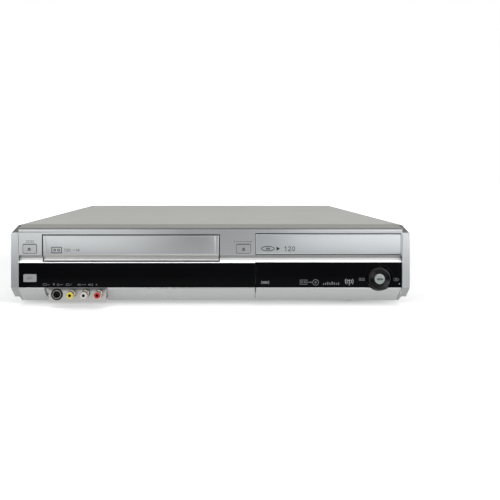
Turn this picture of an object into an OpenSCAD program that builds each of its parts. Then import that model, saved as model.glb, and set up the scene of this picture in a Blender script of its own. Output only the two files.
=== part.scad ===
// Video cassette and disc combination player for a hi-fi shelf, in millimetres.
// X runs right as seen from the front, Y to the rear, Z up. The feet stand on Z = 0.

/* [Case] */
// half of the width over the sheet cover
half_w = 215; // [214.5:0.5:216]
// height of the top cover over the table
top_z = 90; // [90:0.5:91]
// sheet thickness of cover, tray and rear panel
sheet = 1; // [0.8:0.1:1]
// width that the cover's upper edge bend takes off the flat top
bend_x = 4.7; // [4:0.1:6]
// height that the same bend takes off the side
bend_z = 8; // [7:0.5:8]
// rear end of the cover
back_y = 170; // [170:0.5:172]
// joint between facia and cover
seam_y = -156; // [-156.5:0.1:-155.8]
// underside of the sheet tray
tray_z = 10; // [9.5:0.1:10]

/* [Facia] */
// front plane of the facia
face_y = -174; // [-174.5:0.1:-174]
// wall of the facia moulding
skin = 2.2; // [2:0.1:2.4]
// half of the centre panel between the two side wings
mid_w = 207; // [206.5:0.1:207.2]
// upper edge of the wings at the front
wing_z = 82; // [81:0.5:82]
// front edge of the top lip
lip_z = 87.5; // [87:0.1:88]
// lower edge of the facia
low_z = 6; // [5:0.5:6]

/* [Doors] */
// left and right edge of the tape door
tape_x = [-180.5, 9.1];
// lower and upper edge of the tape door
tape_z = [52.2, 79.7];
// left and right edge of the disc door
disc_x = [48.9, 205.2];
// lower and upper edge of the disc door
disc_z = [59.5, 80.9];
// left and right edge of the drop-down flap
flap_x = [48.9, 206.3];
// upper edge of the dark window
window_z = 49.9; // [49.5:0.1:50]
// upper edge of the drop-down flap
flap_top = 50.3; // [50:0.1:50.4]
// width of the bevel at both ends of the tape door
door_bevel = 3.6; // [2:0.2:4]
// gap round the disc door and the flap
gap = 0.4; // [0.3:0.05:0.4]
// wider gap round the tape door
tape_gap = 0.9; // [0.7:0.1:0.9]

/* [Mechanisms] */
// centre line of the cassette
tape_cx = -85.7; // [-86:0.1:-85.4]
// distance of each reel from the centre line
reel_dx = 46.5; // [46:0.1:47]
// reel centres, along Y
reel_y = -99; // [-100:0.5:-98]
// centre of the head drum
drum_at = [-82, 16];
// lean of the head drum
drum_lean = 6; // [0:0.5:6]
// centre of the disc
disc_at = [126.65, -100];

/* [Hidden] */
$fn = 48;
door_axis = [-169.4, 83.4];
flap_axis = [-165, 15];
ring_at = [182.3, 32.8];
front_jack_x = [-149.5, -134.8, -120.4];
front_jack_z = 16.8;
jack_x = [-174.8, -112.6];
jack_top = 22.2;
key_eject = [[-201.9, -187.6], [60.5, 69.8]];
key_tray = [[28.2, 43.2], [60.7, 69.8]];
key_power = [[-201.9, -187.8], [29.4, 37.7]];
svideo_x = -166;
svideo_z = 15.8;
rear_jack_x = [40, 54, 68];
rear_jack_z = [30, 44];
scart_x = [-12, -82];
scart_z = 34;
tuner_x = -185;
tuner_z = [30, 54];
inlet_at = [185, 32];
hdmi_at = [96, 26];
fan_at = [140, 58];
foot_at = [[-160, -118], [160, -118], [-160, 128], [160, 128]];
side_screw_y = [-96, 118];
rear_screw_x = [-150, 20, 172];
deck_z = 27;
capstan_at = [-27, -14];
pinch_pivot = [-9, -20];
pinch_rest = 241;
arm_len = 20;
supply_path = [[-118, -46], [-128, 6]];
takeup_path = [[-52, -46], [-38, 2]];
gear_pitch_r = 9;
gear_teeth = 12;
tooth_pitch = 2 * PI * gear_pitch_r / gear_teeth;
rack_x = 64;

// Flat shapes given in (Y, Z) and drawn out along X.
module xprism(x0, x1) {
  translate([x0, 0, 0])
    rotate([90, 0, 90])
      linear_extrude(x1 - x0)
        children();
}

// Flat shapes given in (X, Z) and drawn out along Y.
module yprism(y0, y1) {
  translate([0, y1, 0])
    rotate([90, 0, 0])
      linear_extrude(y1 - y0)
        children();
}

// Flat shapes given in (X, Y) and drawn out along Z.
module zprism(z0, z1) {
  translate([0, 0, z0])
    linear_extrude(z1 - z0)
      children();
}

module slab(x, y, z) {
  translate([x[0], y[0], z[0]])
    cube([x[1] - x[0], y[1] - y[0], z[1] - z[0]]);
}

module xrod(y, z, x, r) {
  translate([x[0], y, z])
    rotate([0, 90, 0])
      cylinder(h = x[1] - x[0], r = r);
}

module yrod(x, z, y, r) {
  translate([x, y[1], z])
    rotate([90, 0, 0])
      cylinder(h = y[1] - y[0], r = r);
}

module zrod(p, z, r) {
  translate([p[0], p[1], z[0]])
    cylinder(h = z[1] - z[0], r = r);
}

// Turned shapes with the axis along Y: the profile is (radius, Y).
module yturn(x, z) {
  translate([x, 0, z])
    rotate([-90, 0, 0])
      rotate_extrude()
        children();
}

module zturn(p) {
  translate([p[0], p[1], 0])
    rotate_extrude()
      children();
}

module rrect(a, b, r) {
  translate([a[0] + r, b[0]])
    square([a[1] - a[0] - 2 * r, b[1] - b[0]]);
  translate([a[0], b[0] + r])
    square([a[1] - a[0], b[1] - b[0] - 2 * r]);
  for (u = [a[0] + r, a[1] - r], v = [b[0] + r, b[1] - r])
    translate([u, v])
      circle(r);
}

function span(c, w) = [c - w / 2, c + w / 2];
function grow(s, d) = [s[0] - d, s[1] + d];

// ---------- case ----------

module case_outline(inset, floor_z) {
  w = half_w - inset;
  k = inset * 0.55;
  polygon([
    [-w, floor_z], [-w, top_z - bend_z - k / 2], [-half_w + bend_x + k, top_z - inset],
    [half_w - bend_x - k, top_z - inset], [w, top_z - bend_z - k / 2], [w, floor_z]
  ]);
}

// Bottom pan with turned-up edges, vent slots and stand-offs for the boards.
tray_half = half_w - sheet - 0.6;
standoffs = [
  [36, -132], [200, -132], [36, 50], [200, 50], [88, 150], [-104, 150], [-104, 106],
  [106, 76], [204, 76], [106, 150], [163, 150]
];
deck_legs = [[-184, -122], [14, -122], [-184, 76], [14, 76]];

module chassis_tray() {
  color("Silver")
    difference() {
      union() {
        slab([-tray_half, tray_half], [-147, 168], [tray_z, tray_z + sheet]);
        for (s = [-1, 1])
          slab(span(s * (tray_half - sheet / 2), sheet), [-147, 166], [tray_z, 28]);
        slab([-tray_half, tray_half], [-147, -146], [tray_z, 20]);
        slab([-150, 160], [167, 168], [tray_z, 16]);
        for (p = standoffs)
          zrod(p, [tray_z, 16], 3.2);
        for (y = [-90, -30, 30])
          zprism(tray_z, tray_z + sheet + 1.2) rrect([-196, -104], [y, y + 12], 5);
      }
      for (p = standoffs)
        zrod(p, [tray_z + sheet, 17], 1.3);
      for (p = foot_at)
        zrod(p, [tray_z - 1, tray_z + 3], 1.6);
      for (x = [60:9:150], y = [-120, 10])
        zprism(tray_z - 1, tray_z + 3) rrect([x, x + 3.5], [y, y + 44], 1.7);
      for (s = [-1, 1], y = side_screw_y)
        xrod(y, 20, span(s * tray_half, 8), 1.55);
    }
}

module feet() {
  color("DimGray")
    for (p = foot_at)
      zturn(p)
        polygon([
          [1.65, 5], [13, 5], [13, 1.5], [14, 0], [18.5, 0], [20, 1.5], [21, tray_z], [1.65, tray_z]
        ]);
}

// Bent cover: top, sloping shoulders and sides, with a lip over the rear panel.
module top_cover() {
  color("LightGray")
    difference() {
      union() {
        difference() {
          yprism(seam_y + 0.3, back_y) case_outline(0, tray_z + 2);
          yprism(seam_y - 1, back_y + 1) case_outline(sheet, tray_z + 1);
        }
        slab([-196, 196], [back_y - 0.6, back_y], [top_z - 9, top_z - sheet]);
      }
      for (s = [-1, 1], i = [0:13])
        xprism(s * half_w - 3, s * half_w + 3)
          rrect([30 + i * 8, 33.4 + i * 8], [38, 66], 1.6);
      for (s = [-1, 1], y = side_screw_y)
        xrod(y, 20, span(s * half_w, 8), 1.65);
      for (x = rear_screw_x)
        yrod(x, top_z - 5, [160, 175], 1.65);
    }
}

module scart_outline(x, grow_by) {
  g = grow_by;
  polygon([
    [x - 23.5 - g, scart_z + 7 + g], [x + 23.5 + g, scart_z + 7 + g],
    [x + 23.5 + g, scart_z - 3.5 - g / 2], [x + 20 + g / 2, scart_z - 7 - g],
    [x - 23.5 - g, scart_z - 7 - g]
  ]);
}

module figure_eight(r, pitch) {
  for (s = [-1, 1])
    translate([inlet_at[0] + s * pitch / 2, inlet_at[1]])
      circle(r);
  translate([inlet_at[0] - pitch / 2, inlet_at[1] - r])
    square([pitch, 2 * r]);
}

module rear_panel() {
  color("Gainsboro")
    difference() {
      yprism(168.2, 168.2 + sheet) case_outline(sheet + 0.25, tray_z + sheet + 0.1);
      yprism(160, 175) {
        figure_eight(6.9, 8.6);
        for (x = scart_x)
          scart_outline(x, 2.3);
        translate([hdmi_at[0] - 7.8, hdmi_at[1] - 3.1])
          square([15.6, 6.2]);
        for (x = rear_jack_x, z = rear_jack_z)
          translate([x, z])
            circle(4.6);
        for (z = tuner_z)
          translate([tuner_x, z])
            circle(5.4);
        for (x = rear_screw_x)
          translate([x, top_z - 5])
            circle(1.55);
        for (x = [-130:8:60])
          rrect([x, x + 4], [60, 78], 1.9);
      }
      difference() {
        yrod(fan_at[0], fan_at[1], [160, 175], 18.5);
        for (r = [4, 8.6, 13.2])
          difference() {
            yrod(fan_at[0], fan_at[1], [160, 175], r + 1.2);
            yrod(fan_at[0], fan_at[1], [159, 176], r == 4 ? 0.01 : r);
          }
        for (a = [45, 135])
          translate([fan_at[0], 0, fan_at[1]])
            rotate([0, a, 0])
              slab([-19, 19], [160, 175], [-0.8, 0.8]);
      }
    }
}

// Pan-head screws: sides, rear lip and feet.
module screw(head_r, head_h, len) {
  difference() {
    rotate_extrude()
      polygon([
        [0, -len], [1.45, -len], [1.45, 0], [head_r, 0], [head_r, head_h * 0.5],
        [head_r * 0.75, head_h * 0.85], [head_r * 0.4, head_h], [0, head_h]
      ]);
    for (a = [0, 90])
      rotate([0, 0, a])
        translate([-head_r * 0.58, -0.35, head_h * 0.3])
          cube([head_r * 1.16, 0.7, head_h]);
  }
}

module case_screws() {
  color("DarkGray") {
    for (s = [-1, 1], y = side_screw_y)
      translate([s * half_w, y, 20])
        rotate([0, s * 90, 0])
          screw(3.2, 1.4, 5);
    for (x = rear_screw_x)
      translate([x, back_y, top_z - 5])
        rotate([-90, 0, 0])
          screw(3, 1.6, 5);
    for (p = foot_at)
      translate([p[0], p[1], 5])
        rotate([180, 0, 0])
          screw(4, 2, 8);
  }
}

// ---------- facia ----------

// Section of the centre panel in (Y, Z): top lip with its shadow line, flat face, groove,
// window recess and lower strip.
module facia_section() {
  polygon([
    [seam_y, top_z], [face_y, lip_z], [face_y, lip_z - 0.6], [face_y + 1.1, lip_z - 0.6],
    [face_y + 1.1, lip_z - 1.1], [face_y, lip_z - 1.1], [face_y, 58.5], [-169.6, 54.2],
    [-172.9, window_z],
    [-170.8, window_z], [-170.8, 23.3], [-173.3, 23.3], [-173.4, 21.7], [-163.9, 11.5],
    [-159, low_z], [-149, low_z], [-149, low_z + 2], [-157.8, low_z + 2], [-162.4, 12.9],
    [-168.8, 19.7], [-168.8, 51.4], [-167.3, 54.3], [face_y + skin, 58.7],
    [face_y + skin, lip_z - 1.9], [seam_y, top_z - 2]
  ]);
}

// Section of a side wing: upright face, ramp up to the cover, and the receding foot.
module wing_section() {
  polygon([
    [seam_y, top_z], [face_y + 9, top_z], [face_y, wing_z], [face_y, 23.4],
    [-163.5, 11.3], [seam_y, 11.3]
  ]);
}

module wing(s) {
  intersection() {
    difference() {
      xprism(min(s * mid_w, s * half_w), max(s * mid_w, s * half_w))
        wing_section();
      slab(span(s * (mid_w + 3), 6.1), [face_y + skin, -140], [24, top_z - 10]);
    }
    yprism(face_y - 1, -140) case_outline(0, low_z);
  }
}

// End of the lower strip where it runs on below a wing.
module strip_end(x, s) {
  intersection() {
    xprism(min(x, s * 211), max(x, s * 211))
      polygon([[-163.9, 11.5], [-159, low_z], [-149, low_z], [-149, 11.5]]);
    yprism(-170, -140)
      polygon([
        [s * 209.8, 11.4], [s * 208.2, low_z - 1], [s * 200, low_z - 1], [s * 200, 11.4]
      ]);
  }
}

// Sloping wall behind the notch at the left of the front sockets.
module notch_wall() {
  xprism(jack_x[0] - 5.5, jack_x[0] + 1)
    polygon([[-171.2, 22.7], [-162.6, 12.9], [-161.8, 13.6], [-169.4, 22.7]]);
}

// Space cut from the centre panel for the drop-down flap.
module flap_cut() {
  slab([flap_x[0] - 0.7, mid_w + 1], [-180, -150], [low_z - 1, flap_top + 0.15]);
}

// Bay behind the flap: back wall, roof, cheeks and the boss that carries the selector.
module flap_bay() {
  cheek_l = flap_x[0] - 0.3;
  cheek_r = flap_x[1] + 0.3;
  slab([cheek_l - 2, cheek_r + 1.6], [-152.5, -150.5], [11.2, window_z + 3]);
  slab([cheek_l - 2, cheek_r + 1.6], [-168, -150.5], [window_z + 1, window_z + 3]);
  slab([cheek_l - 2, cheek_l], [-169, -150.5], [low_z + 2, window_z + 3]);
  slab([cheek_r, cheek_r + 1.6], [-169, -150.5], [low_z + 2, window_z + 3]);
  slab([cheek_l - 2, cheek_r + 1.6], [-152.5, -149], [low_z, low_z + 2]);
  slab([cheek_l - 2, cheek_r + 1.6], [-152.5, -150.5], [low_z, 11.4]);
  yrod(ring_at[0], ring_at[1], [-169.9, -151], 10.8);
}

module jack_plate() {
  difference() {
    yprism(-172.3, -170.3) {
      rrect(jack_x, [low_z + 1.5, 20], 3);
      translate([jack_x[0], 12])
        square([jack_x[1] - jack_x[0], jack_top - 11]);
    }
    yrod(svideo_x, svideo_z, [-180, -160], 6.3);
    for (x = front_jack_x)
      yrod(x, front_jack_z, [-180, -160], 4.4);
  }
}

module front_panel() {
  color("Silver") {
    difference() {
      union() {
        difference() {
          xprism(-mid_w, mid_w) facia_section();
          flap_cut();
          slab([jack_x[0] - 4.8, jack_x[1] - 0.8], [-176, -145], [11.6, jack_top]);
          slab([jack_x[0] - 0.3, jack_x[1] - 0.8], [-176, -145], [low_z - 1, 12]);
        }
        for (s = [-1, 1])
          wing(s);
        strip_end(-mid_w + 1, -1);
        strip_end(mid_w, 1);
        notch_wall();
        flap_bay();
      }
      // openings for doors, buttons, display and selector
      slab(grow(tape_x, tape_gap), [-180, -160], [tape_z[0] - 1, tape_z[1] + tape_gap]);
      for (s = [-1, 1])
        slab(span(s * (mid_w + 0.05), 0.45), [-180, face_y + 0.5], [59, wing_z - 1]);
      slab(grow(disc_x, gap), [-180, -168], grow(disc_z, gap));
      yprism(-180, -160) {
        for (k = [key_eject, key_tray])
          rrect(grow(k[0], 0.45), grow(k[1], 0.45), 1.6);
        rrect(grow(key_power[0], 0.25), grow(key_power[1], 0.25), 1);
        rrect([-92, 40], [27, 47], 1);
      }
      yrod(ring_at[0], ring_at[1], [-175, -154], 9);
      yrod(ring_at[0], ring_at[1], [-160, -145], 3.4);
      translate([ring_at[0], -165, ring_at[1] - 12])
        cylinder(h = 24, r = 1.06);
      xrod(flap_axis[0], flap_axis[1], [flap_x[0] - 1.9, flap_x[1] + 1.8], 1.56);
      // sockets behind the flap
      yprism(-160, -140) {
        rrect([66, 94], [22, 27], 1);
        rrect([110, 121], [22, 31], 1);
      }
    }
    jack_plate();
    // bearing tabs of the tape door
    for (x = [[tape_x[0] - 3.2, tape_x[0] - 1], [tape_x[1] + 1, tape_x[1] + 3.2]])
      difference() {
        slab(x, [face_y + skin - 0.2, -166.6], [80.9, 86.6]);
        xrod(door_axis[0], door_axis[1], grow(x, 1), 1.06);
      }
  }
}

module display_window() {
  color([0.02, 0.02, 0.03])
    difference() {
      slab([-206.8, 48.3], [-172.9, -170.9], [23.5, window_z - 0.1]);
      yprism(-180, -160)
        rrect(grow(key_power[0], 0.25), grow(key_power[1], 0.25), 1);
    }
}

module display_module() {
  color([0.1, 0.2, 0.2]) {
    slab([-90, 38], [-170.4, -164.5], [28, 46]);
    slab([-94, 42], [-164.5, -161.7], [26, 48]);
  }
}

module tact_switch(x, z) {
  slab(span(x, 6), [-164.8, -161.6], span(z, 6));
  yrod(x, z, [-165.4, -164.7], 1.7);
}

module front_board() {
  color("DarkGreen") {
    yprism(-161.6, -160)
      polygon([
        [-204, 14], [45.4, 14], [45.4, 73], [26, 73], [26, 50], [-184, 50], [-184, 73],
        [-204, 73]
      ]);
    tact_switch(-195, 65);
    tact_switch(35.7, 65.2);
    tact_switch(-194.9, 33.6);
  }
}

// One black moulding behind the jack plate with the round mini-DIN socket.
module front_jack_block() {
  color([0.05, 0.05, 0.05])
    difference() {
      union() {
        slab([-173.4, -113.8], [-170.2, -161.7], [8.6, 21.9]);
        yrod(svideo_x, svideo_z, [-172.9, -168], 6.2);
      }
      yrod(svideo_x, svideo_z, [-178, -167.6], 4.6);
      for (a = [35, 145, 215, 325])
        yrod(svideo_x + 2.6 * cos(a), svideo_z + 2.6 * sin(a), [-178, -164.5], 0.55);
      slab(span(svideo_x, 2.4), [-178, -165.5], [svideo_z - 3.9, svideo_z - 2.7]);
      for (x = front_jack_x)
        yrod(x, front_jack_z, [-172, -163], 4.2);
    }
}

// Nickel barrels of the phono sockets, front and rear.
module rca_shells() {
  color("LightGray") {
    for (x = front_jack_x)
      yturn(x, front_jack_z)
        polygon([
          [3.4, -181.6], [3.9, -181.6], [4.15, -181], [4.15, -178.2], [3.85, -178],
          [3.85, -177.4], [4.15, -177.2], [4.15, -175.4], [3.85, -175.2], [3.85, -174.6],
          [4.15, -174.4], [4.15, -164], [3.4, -164]
        ]);
    for (x = rear_jack_x, z = rear_jack_z)
      yturn(x, z)
        polygon([[3.4, 178.6], [3.9, 178.6], [4.15, 178], [4.15, 160], [3.4, 160]]);
  }
}

module rca_front_insert(x) {
  yturn(x, front_jack_z)
    polygon([[1.65, -182.5], [3, -182.5], [3.35, -182], [3.35, -164], [1.65, -164]]);
}

module rca_rear_insert(x, z) {
  yturn(x, z)
    polygon([[1.65, 179.5], [3, 179.5], [3.35, 179], [3.35, 160], [1.65, 160]]);
}

module rca_yellow() {
  color("Gold") {
    rca_front_insert(front_jack_x[0]);
    for (z = rear_jack_z)
      rca_rear_insert(rear_jack_x[0], z);
  }
}

module rca_white() {
  color("White") {
    rca_front_insert(front_jack_x[1]);
    for (z = rear_jack_z)
      rca_rear_insert(rear_jack_x[1], z);
  }
}

module rca_red() {
  color("Red") {
    rca_front_insert(front_jack_x[2]);
    for (z = rear_jack_z)
      rca_rear_insert(rear_jack_x[2], z);
  }
}

// Card reader and digital input behind the flap, on the back wall of the bay.
module flap_sockets() {
  color([0.15, 0.15, 0.16]) {
    difference() {
      slab([66.3, 93.7], [-154, -138], [22.3, 26.7]);
      slab([68, 92], [-156, -142], [23.4, 25.4]);
    }
    difference() {
      slab([110.3, 120.7], [-154, -138], [22.3, 30.7]);
      slab([112, 119], [-156, -144], [24, 29]);
    }
    slab([112.4, 118.6], [-153, -143.5], [26, 27]);
  }
}

// ---------- boards and power supply ----------

board_z = [16.1, 17.7];

module main_board() {
  color("DarkGreen")
    difference() {
      zprism(board_z[0], board_z[1])
        polygon([
          [30, -140], [206, -140], [206, 62], [98, 62], [98, 157], [-112, 157], [-112, 98],
          [30, 98]
        ]);
      for (p = standoffs)
        zrod(p, [15, 19], 1.5);
    }
}

module board_chips() {
  color([0.08, 0.08, 0.09]) {
    for (c = [[70, -90, 28, 28, 3], [120, -60, 24, 24, 3], [160, -95, 18, 12, 2.4],
              [70, -30, 14, 20, 2.4], [120, 10, 20, 20, 3], [170, 20, 14, 22, 2.4],
              [60, 40, 12, 18, 2.4], [20, 125, 20, 14, 2.6], [-45, 122, 14, 20, 2.6]])
      slab(span(c[0], c[2]), span(c[1], c[3]), [board_z[1], board_z[1] + c[4]]);
    slab([-60, 40], [-159.9, -156.9], [20, 26]);
  }
}

module power_board() {
  color([0.72, 0.6, 0.35])
    difference() {
      slab([100, 210], [70, 156], board_z);
      for (p = standoffs)
        zrod(p, [15, 19], 1.5);
    }
}

module transformer() {
  color([0.2, 0.2, 0.22]) {
    slab([168, 204], [84, 90], [18, 54]);
    slab([168, 204], [114, 120], [18, 54]);
    slab([168, 204], [90, 114], [46, 54]);
    slab([168, 204], [90, 114], [18, 22]);
    slab([174, 198], [90, 114], [23, 45]);
  }
}

module heatsinks() {
  color("Silver")
    for (x = [116, 146]) {
      slab([x, x + 2], [80, 124], [17.8, 50]);
      for (y = [80:7:122])
        slab([x + 2, x + 11], [y, y + 1.6], [22, 50]);
    }
}

module can(p, r, h) {
  translate([p[0], p[1], board_z[1] + 0.05])
    rotate_extrude()
      polygon([
        [0, 0], [r, 0], [r, 1.4], [r - 0.5, 1.9], [r - 0.5, 2.5], [r, 3], [r, h - 0.6],
        [r - 0.6, h], [0, h]
      ]);
}

module capacitors() {
  color([0.1, 0.12, 0.3]) {
    can([184, 138], 9.5, 22);
    for (y = [88, 104, 120])
      can([136, y], 5, 18);
    for (x = [108, 120, 132])
      can([x, 138], 4, 14);
    for (x = [-30, -62, -96])
      can([x, 140], 4, 11);
    for (x = [44, 60, 76])
      can([x, 84], 4, 12);
  }
}

module tuner_module() {
  color("Gainsboro") {
    slab([-206, -166], [112, 168], [18, 66]);
    slab([-200, -172], [114, 166], [11.2, 18]);
    yturn(tuner_x, tuner_z[1])
      polygon([[0, 167], [5, 167], [5, 170], [4.75, 170], [4.75, 182], [4.3, 182.5], [1.6, 182.5],
        [1.6, 173], [0, 173]]);
    yturn(tuner_x, tuner_z[0])
      polygon([[0, 167], [5, 167], [5, 170], [4.75, 170], [4.75, 182.5], [3.9, 182.5],
        [3.9, 171], [1.1, 171], [1.1, 181.5], [0, 182]]);
  }
}

module mains_inlet() {
  color([0.05, 0.05, 0.05]) {
    difference() {
      union() {
        slab([171, 199], [150, 168], [17.8, 41]);
        yprism(150, 171.5) figure_eight(6.6, 8.6);
      }
      yprism(159, 175) figure_eight(4.6, 8.6);
    }
    for (s = [-1, 1])
      yrod(inlet_at[0] + s * 4.3, inlet_at[1], [158, 170], 1.2);
  }
}

module scart_sockets() {
  color([0.06, 0.06, 0.07])
    for (x = scart_x) {
      difference() {
        union() {
          slab([x - 30, x + 30], [152, 168.1], [17.8, 46]);
          yprism(160, 171) scart_outline(x, 2);
        }
        yprism(158.5, 175) scart_outline(x, 0);
      }
      slab([x - 20, x + 18], [158, 169], [scart_z - 1, scart_z + 1]);
    }
}

module rear_jack_block() {
  color([0.06, 0.06, 0.07])
    difference() {
      slab([32, 76], [150, 168.1], [17.8, 52]);
      for (x = rear_jack_x, z = rear_jack_z)
        yrod(x, z, [159, 170], 4.2);
    }
}

module hdmi_socket() {
  color("Gainsboro") {
    difference() {
      slab(span(hdmi_at[0], 15), [157, 170], span(hdmi_at[1], 5.6));
      yprism(158, 172)
        polygon([
          [hdmi_at[0] - 7, hdmi_at[1] + 2.3], [hdmi_at[0] + 7, hdmi_at[1] + 2.3],
          [hdmi_at[0] + 7, hdmi_at[1] - 0.6], [hdmi_at[0] + 5.3, hdmi_at[1] - 2.3],
          [hdmi_at[0] - 5.3, hdmi_at[1] - 2.3], [hdmi_at[0] - 7, hdmi_at[1] - 0.6]
        ]);
    }
    slab(span(hdmi_at[0], 11), [157.5, 168.6], [hdmi_at[1] - 0.2, hdmi_at[1] + 0.8]);
    slab(span(hdmi_at[0], 13), [158, 166], [board_z[1], hdmi_at[1] - 2.8]);
  }
}

module fan_frame() {
  color([0.1, 0.1, 0.1]) {
    difference() {
      yprism(157.6, 168.1) rrect(span(fan_at[0], 40), span(fan_at[1], 40), 3);
      yrod(fan_at[0], fan_at[1], [150, 175], 18.8);
      for (u = [-16, 16], v = [-16, 16])
        yrod(fan_at[0] + u, fan_at[1] + v, [150, 175], 1.7);
    }
    difference() {
      for (a = [0, 90])
        translate([fan_at[0], 0, fan_at[1]])
          rotate([0, a, 0])
            slab([-19, 19], [157.6, 159], [-1.2, 1.2]);
      yrod(fan_at[0], fan_at[1], [150, 175], 6);
    }
    difference() {
      yrod(fan_at[0], fan_at[1], [157.6, 159.6], 9);
      yrod(fan_at[0], fan_at[1], [157, 175], 1.56);
    }
  }
}

module fan_rotor() {
  color([0.12, 0.12, 0.12]) {
    yrod(fan_at[0], fan_at[1], [160, 167.4], 9.5);
    yrod(fan_at[0], fan_at[1], [157.7, 161], 1.5);
    intersection() {
      for (a = [0:72:359])
        translate([fan_at[0], 163.6, fan_at[1]])
          rotate([0, a, 0])
            translate([13, 0, 0])
              rotate([38, 0, 0])
                cube([9.6, 1.1, 8.6], center = true);
      yrod(fan_at[0], fan_at[1], [150, 175], 17.8);
    }
  }
}

// ---------- cassette mechanism ----------

reels = [[tape_cx - reel_dx, reel_y], [tape_cx + reel_dx, reel_y]];

module slot_along(a, b, r) {
  d = b - a;
  len = norm(d);
  translate([a[0], a[1]])
    rotate(atan2(d[1], d[0])) {
      circle(r);
      translate([len, 0])
        circle(r);
      translate([0, -r])
        square([len, 2 * r]);
    }
}

module deck_plate() {
  color("Gainsboro") {
    difference() {
      union() {
        zprism(deck_z, deck_z + 1.2)
          rrect([-192, 22], [-130, 88], 4);
        for (p = deck_legs)
          zrod(p, [tray_z + sheet, deck_z + 0.2], 3);
        for (p = reels)
          zrod(p, [deck_z, 46.5], 1.5);
      }
      zprism(deck_z - 1, deck_z + 2) {
        slot_along(supply_path[0], supply_path[1], 2.6);
        slot_along(takeup_path[0], takeup_path[1], 2.6);
        rrect([-108, -64], [-128, -84], 3);
        rrect([-170, -150], [-60, -30], 3);
        rrect([-20, 8], [30, 70], 3);
      }
      zrod(capstan_at, [deck_z - 1, deck_z + 3], 5.2);
      zrod(drum_at, [deck_z - 1, deck_z + 3], 12);
      for (p = deck_legs)
        zrod(p, [deck_z - 6, deck_z + 3], 1.3);
    }
    zrod(pinch_pivot, [deck_z + 1, 44], 1.5);
  }
}

slider_slot_z = 60;

// Upright side plates that guide the cassette lift.
module deck_brackets() {
  color("Silver")
    for (s = [[-190.6, 1], [19.4, -1]]) {
      difference() {
        slab(span(s[0], 1.2), [-134, -20], [deck_z + 1.2, 86]);
        xprism(s[0] - 2, s[0] + 2) {
          rrect([-124, -51], [slider_slot_z - 2, slider_slot_z + 2], 1.9);
          rrect([-110, -60], [36, 50], 3);
        }
      }
      slab([s[0] - 0.6 + min(s[1] * 6, 0), s[0] + 0.6 + max(s[1] * 6, 0)], [-30, -20],
        [deck_z + 1.2, deck_z + 2.4]);
    }
}

// Part of the lift that slides to the rear: two plates and a tie rod.
module lift_slider() {
  color("DarkGray") {
    for (s = [[-185.6, -1], [14.4, 1]]) {
      difference() {
        slab(span(s[0], 1.2), [-134, -98], [46, 85.6]);
        xprism(s[0] - 2, s[0] + 2)
          for (y = [-127, -104])
            rrect(span(y, 3.2), [48, 78], 1.59);
      }
      for (y = [-121, -110])
        xrod(y, slider_slot_z, s[1] > 0 ? [s[0], s[0] + 6] : [s[0] - 6, s[0]], 1.9);
    }
    xrod(-112, 84, [-185.6, 14.4], 1.4);
  }
}

// Inverted tray that grips the rear part of the cassette, open below.
module cassette_holder() {
  color("LightGray") {
    x0 = -181.2;
    x1 = 9.8;
    difference() {
      slab([x0, x1], [-138, -93], [80, 81]);
      for (x = [-150, -85.7, -21])
        zprism(79, 82) rrect(span(x, 36), [-131, -101], 4);
    }
    for (s = [x0, x1 - 1])
      slab([s, s + 1], [-138, -93], [53, 81]);
    slab([x0, x0 + 8], [-138, -93], [52.9, 53.9]);
    slab([x1 - 8, x1], [-138, -93], [52.9, 53.9]);
    slab([x0, x0 + 20], [-94, -93], [53, 62]);
    slab([x1 - 20, x1], [-94, -93], [53, 62]);
    for (y = [-127, -104]) {
      xrod(y, 76, [x0 - 5.6, x0 + 0.5], 1.5);
      xrod(y, 76, [x1 - 0.5, x1 + 5.4], 1.5);
    }
  }
}

module at_drum() {
  translate([drum_at[0], drum_at[1], deck_z + 1.2])
    rotate([0, drum_lean, 0])
      children();
}

module lower_drum() {
  color("Silver") {
    at_drum()
      rotate_extrude()
        polygon([[3.1, 4], [31, 4], [31, 17], [30.6, 17.4], [8, 17.4], [8, 15], [3.1, 15]]);
    difference() {
      zrod(drum_at, [deck_z + 1.2, deck_z + 7], 26);
      at_drum()
        translate([0, 0, 5])
          cylinder(h = 20, r = 40);
      at_drum()
        translate([0, 0, -5])
          cylinder(h = 30, r = 8);
    }
  }
}

module upper_drum() {
  color("Gainsboro")
    at_drum()
      difference() {
        rotate_extrude()
          polygon([
            [0, 3], [3.04, 3], [3.04, 17.8], [31, 17.8], [31, 33], [30.4, 33.6], [12, 33.6],
            [12, 36], [6, 36], [6, 33.6], [0, 33.6]
          ]);
        for (a = [0, 180])
          rotate([0, 0, a])
            translate([30.2, 0, 18.2])
              cube([3, 2.6, 2], center = true);
      }
}

module tape_heads() {
  color("DimGray") {
    slab([-146, -136], [-18, -8], [deck_z + 1.2, 50]);
    slab([-48, -36], [18, 28], [deck_z + 1.2, 50]);
  }
}

module tape_guides() {
  color("Silver")
    for (p = [[-156, -34], [-150, 12], [-30, 14], [-8, 2]])
      zturn(p)
        polygon([
          [0, deck_z + 1.2], [4, deck_z + 1.2], [4, deck_z + 5], [2.2, deck_z + 5], [2.2, 34],
          [3.2, 34], [3.2, 35], [2.2, 35], [2.2, 49], [3.2, 49], [3.2, 51], [0, 51]
        ]);
}

// Loading motor, capstan bearing with its stator, and mode gear housing.
module deck_motors() {
  color([0.5, 0.5, 0.52]) {
    yrod(-172, 40, [22, 58], 10);
    slab([-184, -160], [20, 60], [deck_z + 1.2, 34]);
    difference() {
      zrod(capstan_at, [deck_z + 1.3, 29.6], 5);
      zrod(capstan_at, [deck_z - 5, 45], 2.06);
    }
    difference() {
      zrod(capstan_at, [12.4, 16.2], 20);
      zrod(capstan_at, [10, 20], 3);
    }
    zrod([-150, 60], [deck_z + 1.2, 36], 20);
  }
}

module capstan() {
  color("Silver") {
    zrod(capstan_at, [14, 54], 2);
    zrod(capstan_at, [16.8, 23.2], 22);
  }
}

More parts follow.
